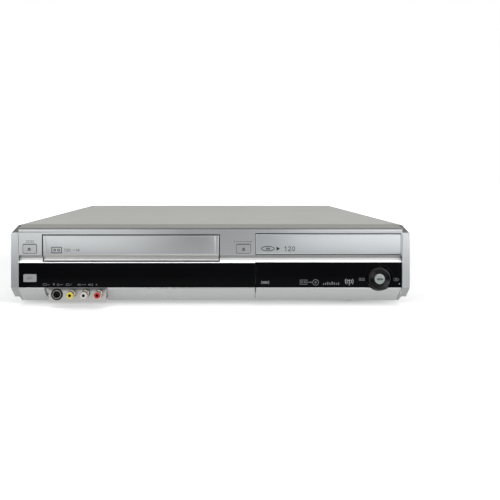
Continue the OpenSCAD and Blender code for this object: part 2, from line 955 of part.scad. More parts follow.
module reel(p) {
  difference() {
    union() {
      zturn(p)
        polygon([
          [1.56, 29], [14, 29], [17, 31], [17, 33], [9, 33], [9, 35], [4, 35], [4, 44], [2.6, 46],
          [1.56, 46]
        ]);
      for (a = [0, 120, 240])
        translate([p[0], p[1], 0])
          rotate([0, 0, a])
            slab([2, 6.4], [-0.7, 0.7], [34, 43]);
    }
    zrod(p, [28, 48], 1.56);
  }
}

module supply_reel() {
  color([0.2, 0.2, 0.2]) reel(reels[0]);
}

module takeup_reel() {
  color([0.2, 0.2, 0.2]) reel(reels[1]);
}

pinch_at = pinch_pivot + arm_len * [cos(pinch_rest), sin(pinch_rest)];

module pinch_arm() {
  color("DarkGray")
    difference() {
      union() {
        zprism(30, 32) slot_along(pinch_pivot, pinch_at, 4);
        zrod(pinch_pivot, [31, 42], 3.4);
        zrod(pinch_at, [31, 49], 1.5);
      }
      zrod(pinch_pivot, [29, 45], 1.56);
    }
}

module pinch_roller() {
  color([0.1, 0.1, 0.1])
    zturn(pinch_at)
      polygon([[1.56, 32.4], [5.4, 32.4], [6, 33], [6, 47], [5.4, 47.6], [1.56, 47.6]]);
}

module carriage(p, q) {
  a = atan2(q[1] - p[1], q[0] - p[0]);
  difference() {
    union() {
      translate([p[0], p[1], 0])
        rotate([0, 0, a])
          slab([-8, 8], [-5.6, 5.6], [deck_z + 1.4, 31.4]);
      zrod(p, [deck_z - 2, 31], 2.5);
      zrod(p, [deck_z - 3, deck_z - 0.2], 4);
      zturn(p)
        polygon([
          [0, 31], [2, 31], [2, 34], [4, 34], [4, 35], [3.2, 35], [3.2, 49], [4, 49], [4, 50.4],
          [1.4, 51], [0, 51]
        ]);
      translate([p[0], p[1], 31])
        rotate([0, 14, a])
          translate([-6, 0, 0])
            cylinder(h = 17, r = 1.3);
    }
  }
}

module supply_carriage() {
  color("DarkGray") carriage(supply_path[0], supply_path[1]);
}

module takeup_carriage() {
  color("DarkGray") carriage(takeup_path[0], takeup_path[1]);
}

module tape_door() {
  color("LightGray") {
    difference() {
      xprism(tape_x[0], tape_x[1])
        polygon([
          [face_y, tape_z[1]], [face_y, 58.5], [-169.6, 54.2], [-171.15, tape_z[0]],
          [-169, tape_z[0]], [-167.4, 54.4], [face_y + 2, 58.7], [face_y + 2, tape_z[1]]
        ]);
      // shallow bevel down both ends
      for (s = [[tape_x[0], door_bevel], [tape_x[1], -door_bevel]])
        zprism(tape_z[0] - 1, tape_z[1] + 1)
          polygon([
            [s[0] - s[1], face_y - 1], [s[0] + s[1], face_y], [s[0], face_y + 0.5],
            [s[0] - s[1], face_y + 0.5]
          ]);
    }
    for (x = [[tape_x[0], tape_x[0] + 2], [tape_x[1] - 2, tape_x[1]]]) {
      xprism(x[0], x[1])
        polygon([
          [face_y + 1.9, 74], [-169, 74], [-167.7, door_axis[1]], [-171.1, door_axis[1]],
          [-171.1, 79.4], [face_y + 1.9, 79.4]
        ]);
      xrod(door_axis[0], door_axis[1], x, 1.7);
    }
    xrod(door_axis[0], door_axis[1], [tape_x[0] - 2.8, tape_x[0] + 1], 1);
    xrod(door_axis[0], door_axis[1], [tape_x[1] - 1, tape_x[1] + 2.8], 1);
  }
}

// ---------- disc mechanism ----------

tray_half_w = 70;
tray_top = 68.5;
tray_floor = 64;
rack_z = [60.2, 63];

module disc_tray() {
  cx = disc_at[0];
  color([0.12, 0.12, 0.13]) {
    difference() {
      slab(span(cx, 2 * tray_half_w), [-171.7, 0], [tray_floor, tray_top]);
      zrod(disc_at, [tray_top - 1.8, 80], 60.5);
      zrod(disc_at, [tray_top - 3, 80], 41);
      zprism(60, 80) {
        slot_along(disc_at, [cx, -60], 19);
        for (s = [-1, 1])
          rrect(span(cx + s * 61, 12), [-160, -152], 3);
      }
    }
    // upright front that carries the disc door
    slab(span(cx, 134), [-171.7, -169.7], [tray_floor, 77]);
    // rack on the underside
    slab([rack_x - 2.6, rack_x - 0.2], [-166, -1], [rack_z[0], tray_floor + 0.2]);
    for (i = [0:34])
      zprism(rack_z[0], rack_z[1])
        translate([rack_x - 0.3, disc_at[1] - 63.6 + i * tooth_pitch])
          polygon([[0, -1.3], [1.2, -0.8], [2.1, -0.5], [2.1, 0.5], [1.2, 0.8], [0, 1.3]]);
  }
}

module tray_door() {
  color("LightGray")
    slab(disc_x, [face_y, -171.8], disc_z);
}

gear_at = [rack_x + 1 + gear_pitch_r, disc_at[1] - 63.6 + 5.5 * tooth_pitch];

// Pinion that drives the tray, with its belt pulley below.
module tray_gear() {
  color("WhiteSmoke")
    difference() {
      union() {
        zrod(gear_at, [60.4, 62.8], gear_pitch_r - 1.2);
        zrod(gear_at, [51, 60.6], 3.4);
        zrod(gear_at, [51, 53.4], 10);
        zprism(60.4, 62.8)
          for (i = [0:gear_teeth - 1])
            translate(gear_at)
              rotate(180 + i * 360 / gear_teeth)
                translate([gear_pitch_r, 0])
                  polygon([[-1.6, -1.1], [0, -0.8], [0.9, -0.45], [0.9, 0.45], [0, 0.8], [-1.6, 1.1]]);
      }
      zrod(gear_at, [50, 65], 1.56);
    }
}

base_x = [disc_at[0] - tray_half_w - 3.4, disc_at[0] + tray_half_w + 3.4];

module drive_base() {
  color([0.14, 0.14, 0.15]) {
    difference() {
      union() {
        slab(base_x, [-148, 24], [44, 47]);
        for (x = [[base_x[0], base_x[0] + 2.6], [base_x[1] - 2.6, base_x[1]]])
          slab(x, [-148, 24], [44, 78]);
        slab(base_x, [21.6, 24], [44, 78]);
        for (x = [[base_x[0] + 2.5, base_x[0] + 6], [base_x[1] - 6, base_x[1] - 2.5]])
          slab(x, [-146, 22], [tray_floor - 2.6, tray_floor - 0.3]);
        for (x = [[base_x[0] + 2.5, base_x[0] + 6], [base_x[1] - 6, base_x[1] - 2.5]],
             y = [-140, -70, -20])
          slab(x, [y, y + 14], [tray_top + 0.4, tray_top + 2.4]);
        for (x = [base_x[0] + 8, base_x[1] - 8], y = [-136, 12])
          zrod([x, y], [board_z[1] + 0.1, 45], 3.4);
      }
      zprism(40, 50)
        slot_along([disc_at[0], -96], [disc_at[0], -40], 30);
    }
    zrod(gear_at, [46, 63.2], 1.5);
    for (x = [-21, 21], y = [-132, -4])
      slab(span(disc_at[0] + x, 8), [y, y + 6], [46.5, 55.6]);
  }
}

rail_x = [disc_at[0] - 21, disc_at[0] + 21];

module sled_rails() {
  color("Silver")
    for (x = rail_x)
      yrod(x, 53, [-125.9, -4.1], 1.5);
}

module drive_cover() {
  color("Gainsboro")
    difference() {
      union() {
        slab(base_x, [-146, 25], [78.1, 78.9]);
        zturn(disc_at)
          polygon([[15, 78.4], [24, 78.4], [24, 80.6], [15, 80.6]]);
        slab(base_x, [24.1, 25], [60, 78.9]);
      }
      zrod(disc_at, [70, 90], 15.2);
    }
}

// Turntable with centring cone on the disc motor.
module disc_spindle() {
  color([0.1, 0.1, 0.1])
    zturn(disc_at)
      polygon([
        [0, 49], [3, 49], [3, 56.2], [13, 56.2], [13, 58], [7.4, 58], [7.2, 59.6], [5.5, 61.2],
        [0, 61.2]
      ]);
}

module pickup_sled() {
  cx = disc_at[0];
  color([0.25, 0.25, 0.27]) {
    difference() {
      union() {
        slab([cx - 25, cx + 25], [-76, -52], [49.5, 56.5]);
        zrod([cx, -66], [56, 59], 5);
      }
      for (x = rail_x)
        yrod(x, 53, [-80, -40], 1.56);
    }
    zrod([cx, -66], [59, 60], 3);
  }
}

// ---------- flap, buttons and selector ----------

module flap_section() {
  polygon([
    [-172.9, flap_top - 0.1], [-170.8, flap_top - 0.1], [-170.8, 23.5], [-172.9, 23.5]
  ]);
}

module front_flap() {
  color([0.02, 0.02, 0.03]) {
    difference() {
      xprism(flap_x[0], flap_x[1]) flap_section();
      yrod(ring_at[0], ring_at[1], [-180, -160], 13.4);
    }
    difference() {
      yrod(ring_at[0], ring_at[1], [-173.5, -172.8], 15.2);
      yrod(ring_at[0], ring_at[1], [-180, -160], 13.4);
      slab(span(ring_at[0], 40), [-180, -160], [0, 23.5]);
    }
  }
}

module flap_strip() {
  color("Silver") {
    difference() {
      xprism(flap_x[0] + 0.3, flap_x[1])
        polygon([
          [-173.3, 23.3], [-173.4, 21.7], [-163.9, 11.5], [-159, low_z], [-157.6, 7.2],
          [-162.6, 12.9], [-168.6, 19.4], [-168.6, 27], [-170.7, 27], [-170.7, 23.3]
        ]);
      yrod(ring_at[0], ring_at[1], [-180, -160], 13.4);
    }
    for (x = [[flap_x[0], flap_x[0] + 3], [flap_x[1] - 3, flap_x[1]]])
      difference() {
        union() {
          xprism(x[0], x[1])
            polygon([[-169.6, 18.6], [-163, 11.6], [-162.6, 17.4], [-166.8, 20.6]]);
          xrod(flap_axis[0], flap_axis[1], x, 3.2);
        }
      }
    xrod(flap_axis[0], flap_axis[1], [flap_x[0] - 1.8, flap_x[0] + 1], 1.5);
    xrod(flap_axis[0], flap_axis[1], [flap_x[1] - 1, flap_x[1] + 1.5], 1.5);
  }
}

module push_button(x, z, r, front, wall_back) {
  yprism(front, wall_back + 0.6) rrect(x, z, r);
  yprism(wall_back + 0.4, wall_back + 1.6) rrect(grow(x, 1.2), grow(z, 1.2), r);
  yrod((x[0] + x[1]) / 2, (z[0] + z[1]) / 2, [wall_back + 1.5, -166.4], 1.8);
}

module power_button() {
  color("WhiteSmoke") push_button(key_power[0], key_power[1], 1, -173.5, -168.8);
}

module eject_button() {
  color("Gainsboro") push_button(key_eject[0], key_eject[1], 1.3, -174.3, face_y + skin);
}

module tray_button() {
  color("Gainsboro") push_button(key_tray[0], key_tray[1], 1.3, -174.3, face_y + skin);
}

module select_ring() {
  color([0.05, 0.05, 0.05]) {
    yturn(ring_at[0], ring_at[1])
      polygon([
        [6.1, -171.2], [12.6, -171.2], [12.6, -172.6], [11.7, -175], [10.8, -175.4],
        [6.1, -174.2]
      ]);
    yturn(ring_at[0], ring_at[1])
      polygon([[6.3, -171.6], [7.8, -171.6], [7.8, -163.2], [6.3, -163.2]]);
    for (s = [-1, 1])
      translate([ring_at[0], -165, ring_at[1] + s * 8.5 - 1.3])
        cylinder(h = 2.6, r = 1);
  }
}

module select_button() {
  color("WhiteSmoke") {
    yturn(ring_at[0], ring_at[1])
      polygon([[0, -175.9], [4.6, -175.6], [5.5, -175], [5.5, -169], [2.6, -169], [2.6, -156], [0, -156]]);
  }
}

chassis_tray();
feet();
top_cover();
rear_panel();
case_screws();
front_panel();
display_window();
display_module();
front_board();
front_jack_block();
rca_shells();
rca_yellow();
rca_white();
rca_red();
flap_sockets();
main_board();
board_chips();
power_board();
transformer();
heatsinks();
capacitors();
tuner_module();
mains_inlet();
scart_sockets();
rear_jack_block();
hdmi_socket();
fan_frame();
deck_plate();
deck_brackets();
lower_drum();
tape_heads();
tape_guides();
deck_motors();
drive_base();
drive_cover();
sled_rails();
fan_rotor();
tape_door();
lift_slider();
cassette_holder();
upper_drum();
supply_reel();
takeup_reel();
capstan();
pinch_arm();
pinch_roller();
supply_carriage();
takeup_carriage();
disc_tray();
tray_door();
tray_gear();
disc_spindle();
pickup_sled();
front_flap();
flap_strip();
power_button();
eject_button();
tray_button();
select_ring();
select_button();
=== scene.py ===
import math

import bmesh
import bpy
from mathutils import Matrix, Vector


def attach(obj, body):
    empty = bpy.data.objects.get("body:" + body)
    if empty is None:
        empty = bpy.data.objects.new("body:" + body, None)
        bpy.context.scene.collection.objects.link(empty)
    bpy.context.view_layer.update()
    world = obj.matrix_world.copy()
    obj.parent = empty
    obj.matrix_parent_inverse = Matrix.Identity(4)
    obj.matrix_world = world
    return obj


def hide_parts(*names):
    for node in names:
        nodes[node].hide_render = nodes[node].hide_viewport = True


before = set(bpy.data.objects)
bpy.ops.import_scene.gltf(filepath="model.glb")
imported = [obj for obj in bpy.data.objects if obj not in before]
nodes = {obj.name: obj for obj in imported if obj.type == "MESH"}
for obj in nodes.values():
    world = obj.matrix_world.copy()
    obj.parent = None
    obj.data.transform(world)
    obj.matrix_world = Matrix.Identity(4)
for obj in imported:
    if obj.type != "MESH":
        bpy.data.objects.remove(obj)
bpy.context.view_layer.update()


# ---------- studio ----------
# A white table top that fades into a white room, one broad softbox overhead and one on each
# side of the front. Grey and black flags, seen in reflections only, shade parts of the front.

def material(name):
    mat = bpy.data.materials.new(name)
    mat.use_nodes = True
    mat.node_tree.nodes.clear()
    return mat


def add_node(tree, kind, **settings):
    made = tree.nodes.new(kind)
    for key, value in settings.items():
        setattr(made, key, value)
    return made


def feed(tree, value, socket):
    """Gives an input its number, its colour or its link."""
    if isinstance(value, (int, float)):
        socket.default_value = value
    elif isinstance(value, tuple):
        socket.default_value = (*value, 1)
    else:
        tree.links.new(value, socket)


def math_node(tree, operation, a, b=None, clamp=False):
    made = add_node(tree, "ShaderNodeMath", operation=operation, use_clamp=clamp)
    feed(tree, a, made.inputs[0])
    if b is not None:
        feed(tree, b, made.inputs[1])
    return made.outputs[0]


def product(tree, *factors):
    result = factors[0]
    for factor in factors[1:]:
        result = math_node(tree, "MULTIPLY", result, factor)
    return result


def fade(tree, value, start, end):
    """0 at the start, 1 at the end and smooth between. The start may be the larger."""
    made = add_node(tree, "ShaderNodeMapRange", interpolation_type="SMOOTHSTEP")
    made.inputs["From Min"].default_value = start
    made.inputs["From Max"].default_value = end
    tree.links.new(value, made.inputs["Value"])
    return made.outputs[0]


def seen_directly(tree):
    """1 for camera, glossy and transmission rays, 0 for the rays that light the part."""
    path = add_node(tree, "ShaderNodeLightPath")
    shiny = math_node(tree, "MAXIMUM", path.outputs["Is Glossy Ray"], path.outputs["Is Transmission Ray"])
    return math_node(tree, "MAXIMUM", path.outputs["Is Camera Ray"], shiny)


ROOM_FILL = 0.36
room = bpy.data.worlds.new("room")
bpy.context.scene.world = room
room.use_nodes = True
tree = room.node_tree
tree.nodes.clear()
fill = add_node(tree, "ShaderNodeBackground")
fill.inputs["Color"].default_value = (0.97, 0.985, 1, 1)
fill.inputs["Strength"].default_value = ROOM_FILL
white = add_node(tree, "ShaderNodeBackground")
white.inputs["Color"].default_value = (1, 1, 1, 1)
white.inputs["Strength"].default_value = 1
pick = add_node(tree, "ShaderNodeMixShader")
tree.links.new(seen_directly(tree), pick.inputs[0])
tree.links.new(fill.outputs[0], pick.inputs[1])
tree.links.new(white.outputs[0], pick.inputs[2])
out = add_node(tree, "ShaderNodeOutputWorld")
tree.links.new(pick.outputs[0], out.inputs["Surface"])

# The table top glows a little for the camera and in reflections, and more along a band of
# painted light in front of the part, which lightens the part's shadow there. It comes up to
# white between 0.3 and 0.9 m from the middle.
TABLE_GLOW = 0.36
PAINTED_LIGHT_BAND = 0.22
PAINTED_LIGHT_BAND_Y = ((-0.14, -0.156), (-0.18, -0.162))
WHITE_FROM, WHITE_BEYOND = 0.3, 0.9
TABLE_HALF = 6
table_top = material("table_top")
tree = table_top.node_tree
place = add_node(tree, "ShaderNodeNewGeometry")
reach = add_node(tree, "ShaderNodeVectorMath", operation="LENGTH")
tree.links.new(place.outputs["Position"], reach.inputs[0])
split = add_node(tree, "ShaderNodeSeparateXYZ")
tree.links.new(place.outputs["Position"], split.inputs[0])
near = [fade(tree, split.outputs["Y"], *limits) for limits in PAINTED_LIGHT_BAND_Y]
far = add_node(tree, "ShaderNodeMapRange", interpolation_type="SMOOTHSTEP")
far.inputs["From Min"].default_value = WHITE_FROM
far.inputs["From Max"].default_value = WHITE_BEYOND
far.inputs["To Max"].default_value = 1
tree.links.new(math_node(tree, "ADD", product(tree, *near, PAINTED_LIGHT_BAND), TABLE_GLOW), far.inputs["To Min"])
tree.links.new(reach.outputs["Value"], far.inputs["Value"])
glow = add_node(tree, "ShaderNodeEmission")
tree.links.new(product(tree, far.outputs[0], seen_directly(tree)), glow.inputs["Strength"])
paper = add_node(tree, "ShaderNodeBsdfDiffuse")
paper.inputs["Color"].default_value = (0.86, 0.86, 0.86, 1)
both = add_node(tree, "ShaderNodeAddShader")
tree.links.new(glow.outputs[0], both.inputs[0])
tree.links.new(paper.outputs[0], both.inputs[1])
below = add_node(tree, "ShaderNodeMixShader")
tree.links.new(place.outputs["Backfacing"], below.inputs[0])
tree.links.new(both.outputs[0], below.inputs[1])
tree.links.new(add_node(tree, "ShaderNodeBsdfTransparent").outputs[0], below.inputs[2])
out = add_node(tree, "ShaderNodeOutputMaterial")
tree.links.new(below.outputs[0], out.inputs["Surface"])


def flat_sheet(name, corners, mat):
    mesh = bpy.data.meshes.new(name)
    mesh.from_pydata(corners, [], [tuple(range(len(corners)))])
    mesh.materials.append(mat)
    made = bpy.data.objects.new(name, mesh)
    bpy.context.scene.collection.objects.link(made)
    return made


floor = flat_sheet("table_top", [(-TABLE_HALF, -TABLE_HALF, 0), (TABLE_HALF, -TABLE_HALF, 0),
                                 (TABLE_HALF, TABLE_HALF, 0), (-TABLE_HALF, TABLE_HALF, 0)], table_top)

# Four flags lie on the table in front of the part, one stands behind the viewer and one hangs
# overhead.
FLAGS = [
    ("flag_low", 0.03, [(-0.1, -0.49, 0.001), (0.13, -0.49, 0.001),
                        (0.33, -1.9, 0.001), (-0.27, -1.9, 0.001)]),
    ("flag_back", 0.03, [(-0.28, -1.9, 0), (0.36, -1.9, 0), (0.48, -1.95, 1.1), (-0.4, -1.95, 1.1)]),
    ("flag_near", 0.3, [(-1.2, -0.31, 0.002), (1.2, -0.31, 0.002),
                        (1.2, -0.56, 0.002), (-1.2, -0.56, 0.002)]),
    ("flag_left", 0.06, [(-1.2, -0.19, 0.003), (-0.222, -0.19, 0.003),
                         (-0.26, -0.56, 0.003), (-1.2, -0.56, 0.003)]),
    ("flag_right", 0.5, [(1.2, -0.19, 0.003), (0.222, -0.19, 0.003),
                         (0.26, -0.56, 0.003), (1.2, -0.56, 0.003)]),
    ("flag_over", 0.03, [(-1.6, -0.35, 2.1), (1.6, -0.35, 2.1), (1.6, 2.4, 2.1), (-1.6, 2.4, 2.1)]),
]
for name, grey, corners in FLAGS:
    cloth = material(name)
    paper = add_node(cloth.node_tree, "ShaderNodeBsdfDiffuse")
    paper.inputs["Color"].default_value = (grey, grey, grey, 1)
    out = add_node(cloth.node_tree, "ShaderNodeOutputMaterial")
    cloth.node_tree.links.new(paper.outputs[0], out.inputs["Surface"])
    flag = flat_sheet(name, corners, cloth)
    flag.visible_camera = False
    flag.visible_shadow = False
    flag.visible_diffuse = False


def softbox(name, at, aim, size, watts):
    lamp = bpy.data.lights.new(name, "AREA")
    lamp.shape = "RECTANGLE"
    lamp.size, lamp.size_y = size
    lamp.energy = watts
    made = bpy.data.objects.new(name, lamp)
    bpy.context.scene.collection.objects.link(made)
    made.location = at
    made.rotation_euler = (Vector(aim) - Vector(at)).to_track_quat("-Z", "Y").to_euler()


softbox("softbox_top", (0, -0.85, 1.6), (0, -0.1, 0), (2.4, 0.7), 15)
softbox("softbox_left", (-1.3, -1.0, 0.5), (-0.1, -0.17, 0.05), (0.6, 0.9), 3)
softbox("softbox_right", (1.3, -1.0, 0.5), (0.1, -0.17, 0.05), (0.7, 0.9), 7)

# The viewer stands straight in front, so the upright lines stay upright. The film is square and
# 36 mm wide, and the lens of 35 mm is moved down and to the right.
FILM_WIDTH, LENS = 36, 34.992
LENS_SHIFT = (0.0792, -0.1508)
EYE_AT = (0, -0.698, 0.1453)
eye = bpy.data.cameras.new("eye")
eye.sensor_width = FILM_WIDTH
eye.lens = LENS
eye.shift_x, eye.shift_y = LENS_SHIFT
camera = bpy.data.objects.new("camera", eye)
bpy.context.scene.collection.objects.link(camera)
camera.location = EYE_AT
camera.rotation_euler = (math.radians(90), 0, 0)
bpy.context.scene.camera = camera
bpy.context.scene.view_settings.view_transform = "Standard"


# ---------- sheet cover ----------
# One piece of 1 mm steel, bent down over the sides with a sloping shoulder and finished in a
# matt warm-grey powder coat. Screws hold it at the sides and at the rear lip.

def group(name, ins, outs):
    """A node group with its input and output nodes."""
    made = bpy.data.node_groups.new(name, "ShaderNodeTree")
    for label, kind, value in ins:
        socket = made.interface.new_socket(label, in_out="INPUT", socket_type="NodeSocket" + kind)
        socket.default_value = value
    for label, kind in outs:
        made.interface.new_socket(label, in_out="OUTPUT", socket_type="NodeSocket" + kind)
    return made, add_node(made, "NodeGroupInput"), add_node(made, "NodeGroupOutput")


def noise(tree, place, scale, detail):
    made = add_node(tree, "ShaderNodeTexNoise")
    made.inputs["Detail"].default_value = detail
    feed(tree, scale, made.inputs["Scale"])
    tree.links.new(place, made.inputs["Vector"])
    return made.outputs[0]


# Rounded edges: the normal that a small radius would give, and a mask along the same edges that
# shows where handling has worn the finish.
EDGE_GAIN = 6
RUB_FROM, RUB_GAIN = 0.34, 2.4
worn_edges, ends, done = group(
    "worn_edges",
    [("Radius", "Float", 0.0004), ("Wear", "Float", 0.5)],
    [("Normal", "Vector"), ("Mask", "Float")],
)
soft = add_node(worn_edges, "ShaderNodeBevel", samples=6)
worn_edges.links.new(ends.outputs["Radius"], soft.inputs["Radius"])
here = add_node(worn_edges, "ShaderNodeNewGeometry")
turn = add_node(worn_edges, "ShaderNodeVectorMath", operation="DOT_PRODUCT")
worn_edges.links.new(soft.outputs[0], turn.inputs[0])
worn_edges.links.new(here.outputs["True Normal"], turn.inputs[1])
spot = add_node(worn_edges, "ShaderNodeTexCoord")
rub = noise(worn_edges, spot.outputs["Object"], 160, 4)
turned_away = math_node(worn_edges, "SUBTRACT", 1, turn.outputs["Value"])
edge = math_node(worn_edges, "MULTIPLY", turned_away, EDGE_GAIN, True)
patchy = math_node(worn_edges, "MULTIPLY", math_node(worn_edges, "SUBTRACT", rub, RUB_FROM), RUB_GAIN, True)
worn_edges.links.new(soft.outputs[0], done.inputs["Normal"])
worn_edges.links.new(product(worn_edges, edge, patchy, ends.outputs["Wear"]), done.inputs["Mask"])

# Fine grain: a height for the bump and a slow and a fine variation for colour and roughness.
fine_grain, ends, done = group(
    "fine_grain",
    [("Grain size", "Float", 0.0004), ("Stretch", "Vector", (1, 1, 1))],
    [("Height", "Float"), ("Fine", "Float"), ("Cloud", "Float")],
)
spot = add_node(fine_grain, "ShaderNodeTexCoord")
scaled = add_node(fine_grain, "ShaderNodeVectorMath", operation="MULTIPLY")
fine_grain.links.new(spot.outputs["Object"], scaled.inputs[0])
fine_grain.links.new(ends.outputs["Stretch"], scaled.inputs[1])
per_metre = math_node(fine_grain, "DIVIDE", 1, ends.outputs["Grain size"])
pits = noise(fine_grain, scaled.outputs[0], per_metre, 3)
cloud = noise(fine_grain, spot.outputs["Object"], 14, 3)
for label, value in (("Height", pits), ("Fine", pits), ("Cloud", cloud)):
    fine_grain.links.new(value, done.inputs[label])

# Dust: a thin veil on whatever faces up.
dust, ends, done = group("dust", [("Amount", "Float", 0.1)], [("Mask", "Float")])
here = add_node(dust, "ShaderNodeNewGeometry")
up = add_node(dust, "ShaderNodeSeparateXYZ")
dust.links.new(here.outputs["True Normal"], up.inputs[0])
spot = add_node(dust, "ShaderNodeTexCoord")
drift = noise(dust, spot.outputs["Object"], 60, 6)
lying = math_node(dust, "MAXIMUM", up.outputs["Z"], 0)
dust.links.new(product(dust, lying, drift, ends.outputs["Amount"]), done.inputs["Mask"])


def mix_colour(tree, factor, a, b):
    made = add_node(tree, "ShaderNodeMix", data_type="RGBA")
    # A colour mix has its colours at inputs 6 and 7 and its result at output 2.
    for at, value in ((0, factor), (6, a), (7, b)):
        feed(tree, value, made.inputs[at])
    return made.outputs[2]


DUST_COLOUR = (0.5, 0.49, 0.46)
DUST_ROUGHNESS = 0.5
CLOUD_ROUGHNESS = 0.18
FLECK_GAIN, FLECK_SHARE = 2.2, 0.15
RELIEF_SHARE = 0.4


def finish(name, colour, rough, metal=0.0, grain=0.0004, stretch=(1, 1, 1), bump=0.1, vary=0.06,
           worn=None, wear=0.5, radius=0.0004, dirt=0.1, sockets=None):
    """A painted, moulded or bare surface.

    Its colour drifts a little, its edges are worn, and it has grain and dust.
    """
    mat = material(name)
    tree = mat.node_tree
    shader = add_node(tree, "ShaderNodeBsdfPrincipled")
    out = add_node(tree, "ShaderNodeOutputMaterial")
    tree.links.new(shader.outputs[0], out.inputs["Surface"])
    edges = add_node(tree, "ShaderNodeGroup", node_tree=worn_edges)
    edges.inputs["Radius"].default_value = radius
    edges.inputs["Wear"].default_value = wear
    skin = add_node(tree, "ShaderNodeGroup", node_tree=fine_grain)
    skin.inputs["Grain size"].default_value = grain
    skin.inputs["Stretch"].default_value = stretch
    veil = add_node(tree, "ShaderNodeGroup", node_tree=dust)
    veil.inputs["Amount"].default_value = dirt
    dark = tuple(c * (1 - vary) for c in colour)
    light = tuple(min(1, c * (1 + vary)) for c in colour)
    base = mix_colour(tree, skin.outputs["Cloud"], dark, light)
    flecks = product(tree, math_node(tree, "SUBTRACT", skin.outputs["Fine"], 0.5), FLECK_GAIN * vary)
    base = mix_colour(tree, math_node(tree, "ADD", flecks, FLECK_SHARE * vary, True), base, light)
    base = mix_colour(tree, edges.outputs["Mask"], base, worn or light)
    base = mix_colour(tree, veil.outputs["Mask"], base, DUST_COLOUR)
    tree.links.new(base, shader.inputs["Base Color"])
    spread = product(tree, math_node(tree, "SUBTRACT", skin.outputs["Cloud"], 0.5), CLOUD_ROUGHNESS)
    shine = math_node(tree, "ADD", math_node(tree, "ADD", spread, rough),
                      product(tree, veil.outputs["Mask"], DUST_ROUGHNESS), True)
    tree.links.new(shine, shader.inputs["Roughness"])
    relief = add_node(tree, "ShaderNodeBump")
    relief.inputs["Strength"].default_value = bump
    relief.inputs["Distance"].default_value = grain * RELIEF_SHARE
    tree.links.new(skin.outputs["Height"], relief.inputs["Height"])
    tree.links.new(edges.outputs["Normal"], relief.inputs["Normal"])
    tree.links.new(relief.outputs[0], shader.inputs["Normal"])
    shader.inputs["Metallic"].default_value = metal
    for key, value in (sockets or {}).items():
        shader.inputs[key].default_value = value
    return mat


def dress(mat, *names):
    for name in names:
        for holder in nodes[name].material_slots:
            holder.material = mat
        if not nodes[name].material_slots:
            nodes[name].data.materials.append(mat)


def overpaint(mat, mask, colour, metal=None, rougher=None):
    """Lays a second colour over a finish where the mask is 1. The last metal given is the one that holds."""
    tree = mat.node_tree
    shader = next(n for n in tree.nodes if n.type == "BSDF_PRINCIPLED")
    base = shader.inputs["Base Color"].links[0].from_socket
    tree.links.new(mix_colour(tree, mask, base, colour), shader.inputs["Base Color"])
    if metal is not None:
        before = shader.inputs["Metallic"].default_value
        change = product(tree, mask, metal - before)
        tree.links.new(math_node(tree, "ADD", change, before), shader.inputs["Metallic"])
    if rougher is not None:
        rough = shader.inputs["Roughness"].links[0].from_socket
        change = product(tree, mask, rougher)
        tree.links.new(math_node(tree, "ADD", rough, change, True), shader.inputs["Roughness"])


cover_coat = finish("cover_coat", (0.455, 0.452, 0.425), 0.5, metal=0.15, grain=0.0005, bump=0.12, vary=0.03,
                    wear=0.25, radius=0.0006, dirt=0.05)
dress(cover_coat, "top_cover")
rear_coat = finish("rear_coat", (0.4, 0.4, 0.39), 0.45, metal=0.2, grain=0.0005, bump=0.12, vary=0.03,
                   wear=0.3, radius=0.0004, dirt=0.03)
dress(rear_coat, "rear_panel")

# ---------- sheet tray, feet and screws ----------
# The tray and the brackets are zinc-plated steel with a dull spangle. The feet are moulded
# rubber rings, and the screws are zinc-plated pan heads.

zinc = finish("zinc", (0.56, 0.57, 0.58), 0.36, metal=0.9, grain=0.006, bump=0.03, vary=0.12, wear=0.3,
              radius=0.0003, dirt=0.12)
dress(zinc, "chassis_tray", "deck_plate", "deck_brackets", "lift_slider", "cassette_holder", "pinch_arm",
      "drive_cover", "tuner_module")
dress(finish("foot_rubber", (0.035, 0.035, 0.036), 0.75, grain=0.0003, bump=0.25, vary=0.15, dirt=0.12),
      "feet")
dress(finish("screw_zinc", (0.5, 0.5, 0.48), 0.3, metal=0.95, grain=0.0002, bump=0.08, vary=0.1,
             radius=0.0002), "case_screws")

# ---------- facia ----------
# One moulding in plastic with a satin silver paint: centre panel, groove, lower strip and the
# two side wings. Its top lip is sprayed in the warm grey of the cover, and its sloping shoulders
# are painted a dark grey as painted shade. The paint also carries painted shade on the nose, in
# the groove, on the strip's foot and on the jack plate, and a painted highlight on the bevels.

MM = 0.001
# Heights of the lip, and of the bands of painted shade and painted highlight on the facia.
TOP_LIP_Z = 0.083
NOSE_SHADOW_Z = (0.0868, 0.0875)
GROOVE_SHADE_Z, FOOT_SHADE_Z = (0.045, 0.05), (0.04, 0.03)
BEVEL_HIGHLIGHT_FOOT = 0.0495
WING_X = 0.2072
JACK_PLATE_X = (-0.179, -0.111)
JACK_PLATE_TOP = 0.0233
JACK_SHADE_Z = (0.0185, 0.0215)
BLEND = 0.0003
# How far the surface faces up: the range of its normal's Z in which each mask comes in.
UPWARD, NEARLY_FLAT, DOWNWARD = (0.25, 0.5), (0.74, 0.82), (-0.3, -0.6)


def object_place(tree):
    """The place on the object in metres, as the outputs X, Y and Z."""
    spot = add_node(tree, "ShaderNodeTexCoord")
    place = add_node(tree, "ShaderNodeSeparateXYZ")
    tree.links.new(spot.outputs["Object"], place.inputs[0])
    return place.outputs


